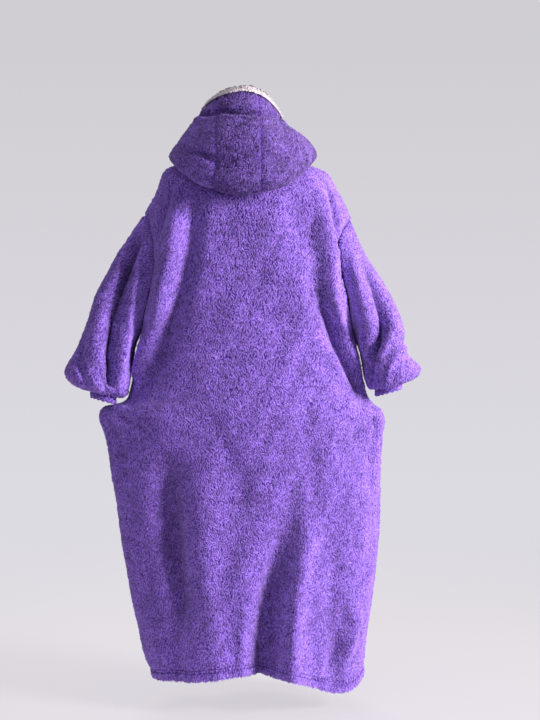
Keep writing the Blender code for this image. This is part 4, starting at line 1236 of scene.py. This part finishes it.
def buildSleeves():
    for seed, side in ((300, "left"), (400, "right")):
        for piece in ("sleeve", "cuff"):
            name = piece + side
            grid, closed, turned = pieces[name]
            down = runOf(grid.transpose(1, 0, 2)).T
            dip = cloth["seamDip"] * (edgeDips(down) + edgeDips(down[-1:] - down) * (piece == "sleeve"))
            size = 1 - sleeve["flatAtSeam"] * np.clip(edgeDips(down) + edgeDips(down[-1:] - down), 0, 1)
            made, outer = clothPiece(piece + side.capitalize(), piece + "_" + side, grid, normals[name], dip,
                                     closed, turned, cloth["wall"], [groundPurple, backing])
            nap = np.gradient(grid, axis=0)
            hollow = hollows[name] if piece == "sleeve" else np.zeros(grid.shape[:2])
            curly = pileOn(piece + "Pile" + side.capitalize(), outer, normals[name], size, nap, hollow,
                           True, sleeve["spacing"][piece], seed)
            sheets[name] = (made, [curly])
            seed += 50
        print(side, "sleeve and cuff built")


def hoodPanels(tube):
    # the right panel, the centre strip and the left panel
    count = tube.shape[1]
    outside, strip, ahead = hood["outside"], hood["strip"], hood["front"]
    share = (2 * outside + strip + ahead) // count
    outside, strip, ahead = outside // share, strip // share, ahead // share
    frontMiddle = 2 * outside + strip + ahead // 2
    return {
        "right": [j % count for j in range(frontMiddle, count + outside + 1)],
        "centre": list(range(outside, outside + strip + 1)),
        "left": list(range(outside + strip, frontMiddle + 1)),
    }


def buildHood():
    grid, _, turned = pieces["hood"]
    facing = normals["hood"]
    rows = np.broadcast_to(hoodAt[:, None], grid.shape[:2])
    nap = -np.gradient(grid, axis=0)  # the hood is turned over, so its nap runs back down from the rim
    for seed, (side, chosen) in zip((500, 520, 540), hoodPanels(grid).items()):
        points, way = grid[:, chosen], facing[:, chosen]
        across = runOf(points)
        toSeam = np.minimum(across, across[:, -1:] - across)
        down = runOf(points.transpose(1, 0, 2)).T
        toRim = down[-1:] - down
        dip = cloth["seamDip"] * edgeDips(toSeam)
        size = (1 - hood["flatAtSeam"] * edgeDips(toSeam)) * (1 - hood["flatAtRim"] * edgeDips(toRim))
        made, outer = clothPiece("hood" + side.capitalize(), "hood_" + side, points, way, dip, False, turned,
                                 cloth["wall"], [groundPurple, backing])
        seen = (rows[:, chosen] > hood["pileFromRow"]) * 1.0
        # each panel's pile is darkened by its painted shade
        curly = pileOn("hoodPile" + side.capitalize(), outer, way, size, nap[:, chosen],
                       hollows["hood"][:, chosen], False, hood["spacing"], seed, seen, hood["panelShade"][side])
        sheets["hood" + side] = (made, [curly])
    print("hood built")


def nubsOn(name, base, normal, seed):
    # round nubs of the sherpa lining: a low dome each
    sides = lining["nubSides"]
    rng = np.random.default_rng(seed)
    count = len(base)
    start = unit(np.cross(normal, rng.normal(size=(count, 3))))
    side = np.cross(normal, start)
    width = lining["nubWidth"] / 2 * rng.uniform(*lining["nubWidths"], (count, 1))
    height = lining["nubHeight"] * rng.uniform(*lining["nubHeights"], (count, 1))
    turns = np.linspace(0, 2 * math.pi, sides, endpoint=False)
    low = normal * lining["nubSink"]
    rim = [base + (start * math.cos(t) + side * math.sin(t)) * width - low for t in turns]
    points = np.stack(rim + [base + normal * height], axis=1)
    faces = np.array([[k, (k + 1) % sides, sides] for k in range(sides)])
    faces = (np.arange(count)[:, None, None] * (sides + 1) + faces[None]).reshape(-1, 3)
    made = newMesh(name, points.reshape(-1, 3), [faces], [creamNubs])
    # painted shade: each nub darker at its foot
    giveValues(made, "tip", np.tile([lining["nubFoot"]] * sides + [1.0], (count, 1)))
    giveValues(made, "tint", np.repeat(rng.normal(size=count) * lining["nubTint"], sides + 1))
    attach(made, "root")
    return made


def liningGrid():
    # the hood's own points moved in past its cloth, with a lip that rolls out over the rim
    grid, facing = pieces["hood"][0][:, ::2], normals["hood"][:, ::2]
    inside = grid - facing * (cloth["wall"] + cloth["liningGap"])
    rim, up = inside[-1], unit(inside[-1] - inside[-2])
    sideways = np.abs(rim[:, 0]) / np.abs(rim[:, 0]).max()
    heights = []
    for kind in ("lip", "over"):
        given = lining[kind]
        broad = np.where(rim[:, 0] > 0, given["left"], given["right"])
        ends = np.where(rim[:, 1] > hoodForm["leftY"][-1], given["back"], given["front"])
        heights.append((ends + (broad - ends) * sideways**2)[:, None])
    lip, over = heights
    behind = rim[:, 1] > hoodForm["leftY"][-1]
    notch = np.exp(-(((rim[:, 0] - lining["notchX"]) / lining["notchWidth"]) ** 2)) * behind
    lip = lip * (1 - lining["notchDepth"] * notch)[:, None]
    reach = cloth["wall"] + cloth["liningGap"] + lining["lipRoll"]
    points, directions = list(inside), list(facing)
    for share in np.linspace(0, 1, lining["lipRows"] + 1)[1:]:
        # up inside the rim, over it, and down a little way outside
        turn = share * math.pi
        rise = lip * math.sin(turn) - over * max(0.0, share - 0.5) * 2
        points.append(rim + up * rise + facing[-1] * reach * (1 - math.cos(turn)) / 2)
        directions.append(facing[-1] * math.cos(turn) - up * math.sin(turn))
    return np.array(points), np.array(directions)


def buildLining():
    points, directions = liningGrid()
    for seed, (side, chosen) in zip((600, 620, 640), hoodPanels(points).items()):
        outer, facing = points[:, chosen], directions[:, chosen]
        outer = trimmed(outer, False)
        inner = trimmed(outer - facing * cloth["liningWall"], False)
        made = shellOf("hoodLining" + side.capitalize(), outer, inner, False, pieces["hood"][2],
                       [creamCloth, creamCloth])
        count = len(made.data.vertices)
        giveValues(made, "tip", np.full(count, 0.5))
        giveValues(made, "tint", np.zeros(count))
        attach(made, "root")
        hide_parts("hood_lining_" + side)
        rng = np.random.default_rng(seed)
        row, column = spread(inner, False, lining["nubSpacing"], rng)
        base = surfaceAt(inner, row, column, False)
        normal = -unit(surfaceAt(facing, row, column, False))
        nubs = nubsOn("hoodLiningNubs" + side.capitalize(), base, normal, seed + 1)
        sheets["lining" + side] = (made, [nubs])
    print("lining built")


sheets = {}
buildBody()
buildSleeves()
buildHood()
buildLining()

# The cut of each piece before it was sewn, in metres: width, length and, where it isn't a rectangle,
# its area.
cuts = {
    "back": (0.93, 1.42, 1.02),
    "front": (0.93, 1.38, 0.98),
    "sleeveleft": (0.53, 0.46, 0.195),
    "sleeveright": (0.53, 0.46, 0.195),
    "cuffleft": (0.26, 0.018, None),
    "cuffright": (0.26, 0.018, None),
    "hoodleft": (0.34, 0.60, 0.14),
    "hoodcentre": (0.13, 0.62, None),
    "hoodright": (0.34, 0.60, 0.14),
    "liningleft": (0.34, 0.62, 0.14),
    "liningcentre": (0.13, 0.62, None),
    "liningright": (0.34, 0.62, 0.14),
}


def areaOf(made):
    mesh = made.data
    total = np.zeros(len(mesh.polygons))
    mesh.polygons.foreach_get("area", total)
    return total.sum() / 2


for name, (made, others) in sheets.items():
    width, length, area = cuts[name]
    print("sheet", name, round(areaOf(made), 4), "of", area or width * length)

# Floor, light and camera

stageSet = {
    "floorZ": -1.42,
    "floorRadius": 3.4,
    "floorColour": (0.13, 0.127, 0.134),
    "floorGlow": (0.628, 0.600, 0.640),  # light that reaches the floor from the whole room
    "floorFade": 1.1,  # the floor fades out from here to its edge
    "backdrop": {"high": (0.631, 0.617, 0.651), "low": (0.723, 0.708, 0.761), "from": -0.10, "to": 0.15},
    "ambient": (0.065, 0.065, 0.085),
    "lights": [  # name, place, aimed at, size, watts, colour
        ("key", (-3.4, 2.05, 0.55), (0, 0, -0.60), 1.3, 270, (1.0, 0.975, 0.96)),
        ("fill", (1.0, 4.2, 0.6), (0, 0, -0.75), 2.0, 40, (0.93, 0.95, 1.0)),
        ("top", (0.0, 0.4, 2.6), (0, 0, -0.3), 2.0, 22, (1.0, 1.0, 1.0)),
        ("frontFill", (0.5, -3.6, 1.2), (0, 0, -0.5), 2.4, 60, (1.0, 1.0, 1.0)),
    ],
    "cameraPlace": (0, 4.5, -0.42),
    "pixelsPerTangent": 1755.0,
    "axisPixel": (245.0, 313.0),  # where the point straight ahead of the camera lies in the 540 x 720 frame
    "centrePixel": (270.0, 360.0),
    "imageHeight": 720,
}


def buildStage():
    bpy.ops.mesh.primitive_circle_add(vertices=96, radius=stageSet["floorRadius"], fill_type="NGON",
                                      location=(0, 0, stageSet["floorZ"]))
    floor = bpy.context.object
    floor.name = "floor"
    material, nodes, links, shader = newMaterial("paleFloor", 0.75)
    place = nodes.new("ShaderNodeTexCoord")
    length = nodes.new("ShaderNodeVectorMath")
    length.operation = "LENGTH"
    links.new(place.outputs["Object"], length.inputs[0])
    shader.inputs["Base Color"].default_value = (*stageSet["floorColour"], 1)
    shader.inputs["Emission Color"].default_value = (*stageSet["floorGlow"], 1)
    shader.inputs["Emission Strength"].default_value = 1.0
    away = length.outputs["Value"]
    edge = scaled(nodes, links, away, 1.0, 0.0, stageSet["floorFade"], stageSet["floorRadius"])
    links.new(edge, shader.inputs["Alpha"])
    floor.data.materials.append(material)
    floor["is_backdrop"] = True

    world = bpy.data.worlds.new("studio")
    bpy.context.scene.world = world
    world.use_nodes = True
    nodes, links = world.node_tree.nodes, world.node_tree.links
    seen, light = nodes["Background"], nodes.new("ShaderNodeBackground")
    place, apart = nodes.new("ShaderNodeTexCoord"), nodes.new("ShaderNodeSeparateXYZ")
    links.new(place.outputs["Generated"], apart.inputs[0])
    backdrop = stageSet["backdrop"]
    height = scaled(nodes, links, apart.outputs["Z"], 0.0, 1.0, backdrop["from"], backdrop["to"])
    wall = ramp(nodes, links, height, [(0.0, backdrop["low"]), (1.0, backdrop["high"])])
    links.new(wall, seen.inputs["Color"])
    light.inputs["Color"].default_value = (*stageSet["ambient"], 1)
    path, mix = nodes.new("ShaderNodeLightPath"), nodes.new("ShaderNodeMixShader")
    links.new(path.outputs["Is Camera Ray"], mix.inputs["Fac"])
    links.new(light.outputs[0], mix.inputs[1])
    links.new(seen.outputs[0], mix.inputs[2])
    links.new(mix.outputs[0], nodes["World Output"].inputs["Surface"])

    for name, place, target, size, watts, colour in stageSet["lights"]:
        lamp = bpy.data.lights.new(name, "AREA")
        lamp.size = size
        lamp.energy = watts
        lamp.color = colour
        made = bpy.data.objects.new(name, lamp)
        made.location = place
        made.rotation_euler = (Vector(target) - Vector(place)).to_track_quat("-Z", "Y").to_euler()
        bpy.context.scene.collection.objects.link(made)


def buildCamera():
    camera = bpy.data.cameras.new("camera")
    made = bpy.data.objects.new("camera", camera)
    bpy.context.scene.collection.objects.link(made)
    place = Vector(stageSet["cameraPlace"])
    scale = stageSet["pixelsPerTangent"]
    right = (stageSet["centrePixel"][0] - stageSet["axisPixel"][0]) / scale * place.y
    below = (stageSet["centrePixel"][1] - stageSet["axisPixel"][1]) / scale * place.y
    target = Vector((-right, 0, place.z - below))
    made.location = place
    made.rotation_euler = (target - place).to_track_quat("-Z", "Y").to_euler()
    camera.sensor_width = 36.0
    camera.lens = scale / stageSet["imageHeight"] * camera.sensor_width
    bpy.context.scene.camera = made


buildStage()
buildCamera()
bpy.context.scene.view_settings.view_transform = "Standard"
counts = {o.name: sum(len(p.vertices) - 2 for p in o.data.polygons)
          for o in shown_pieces() if o.type == "MESH"}
print("triangles", sum(counts.values()), counts)
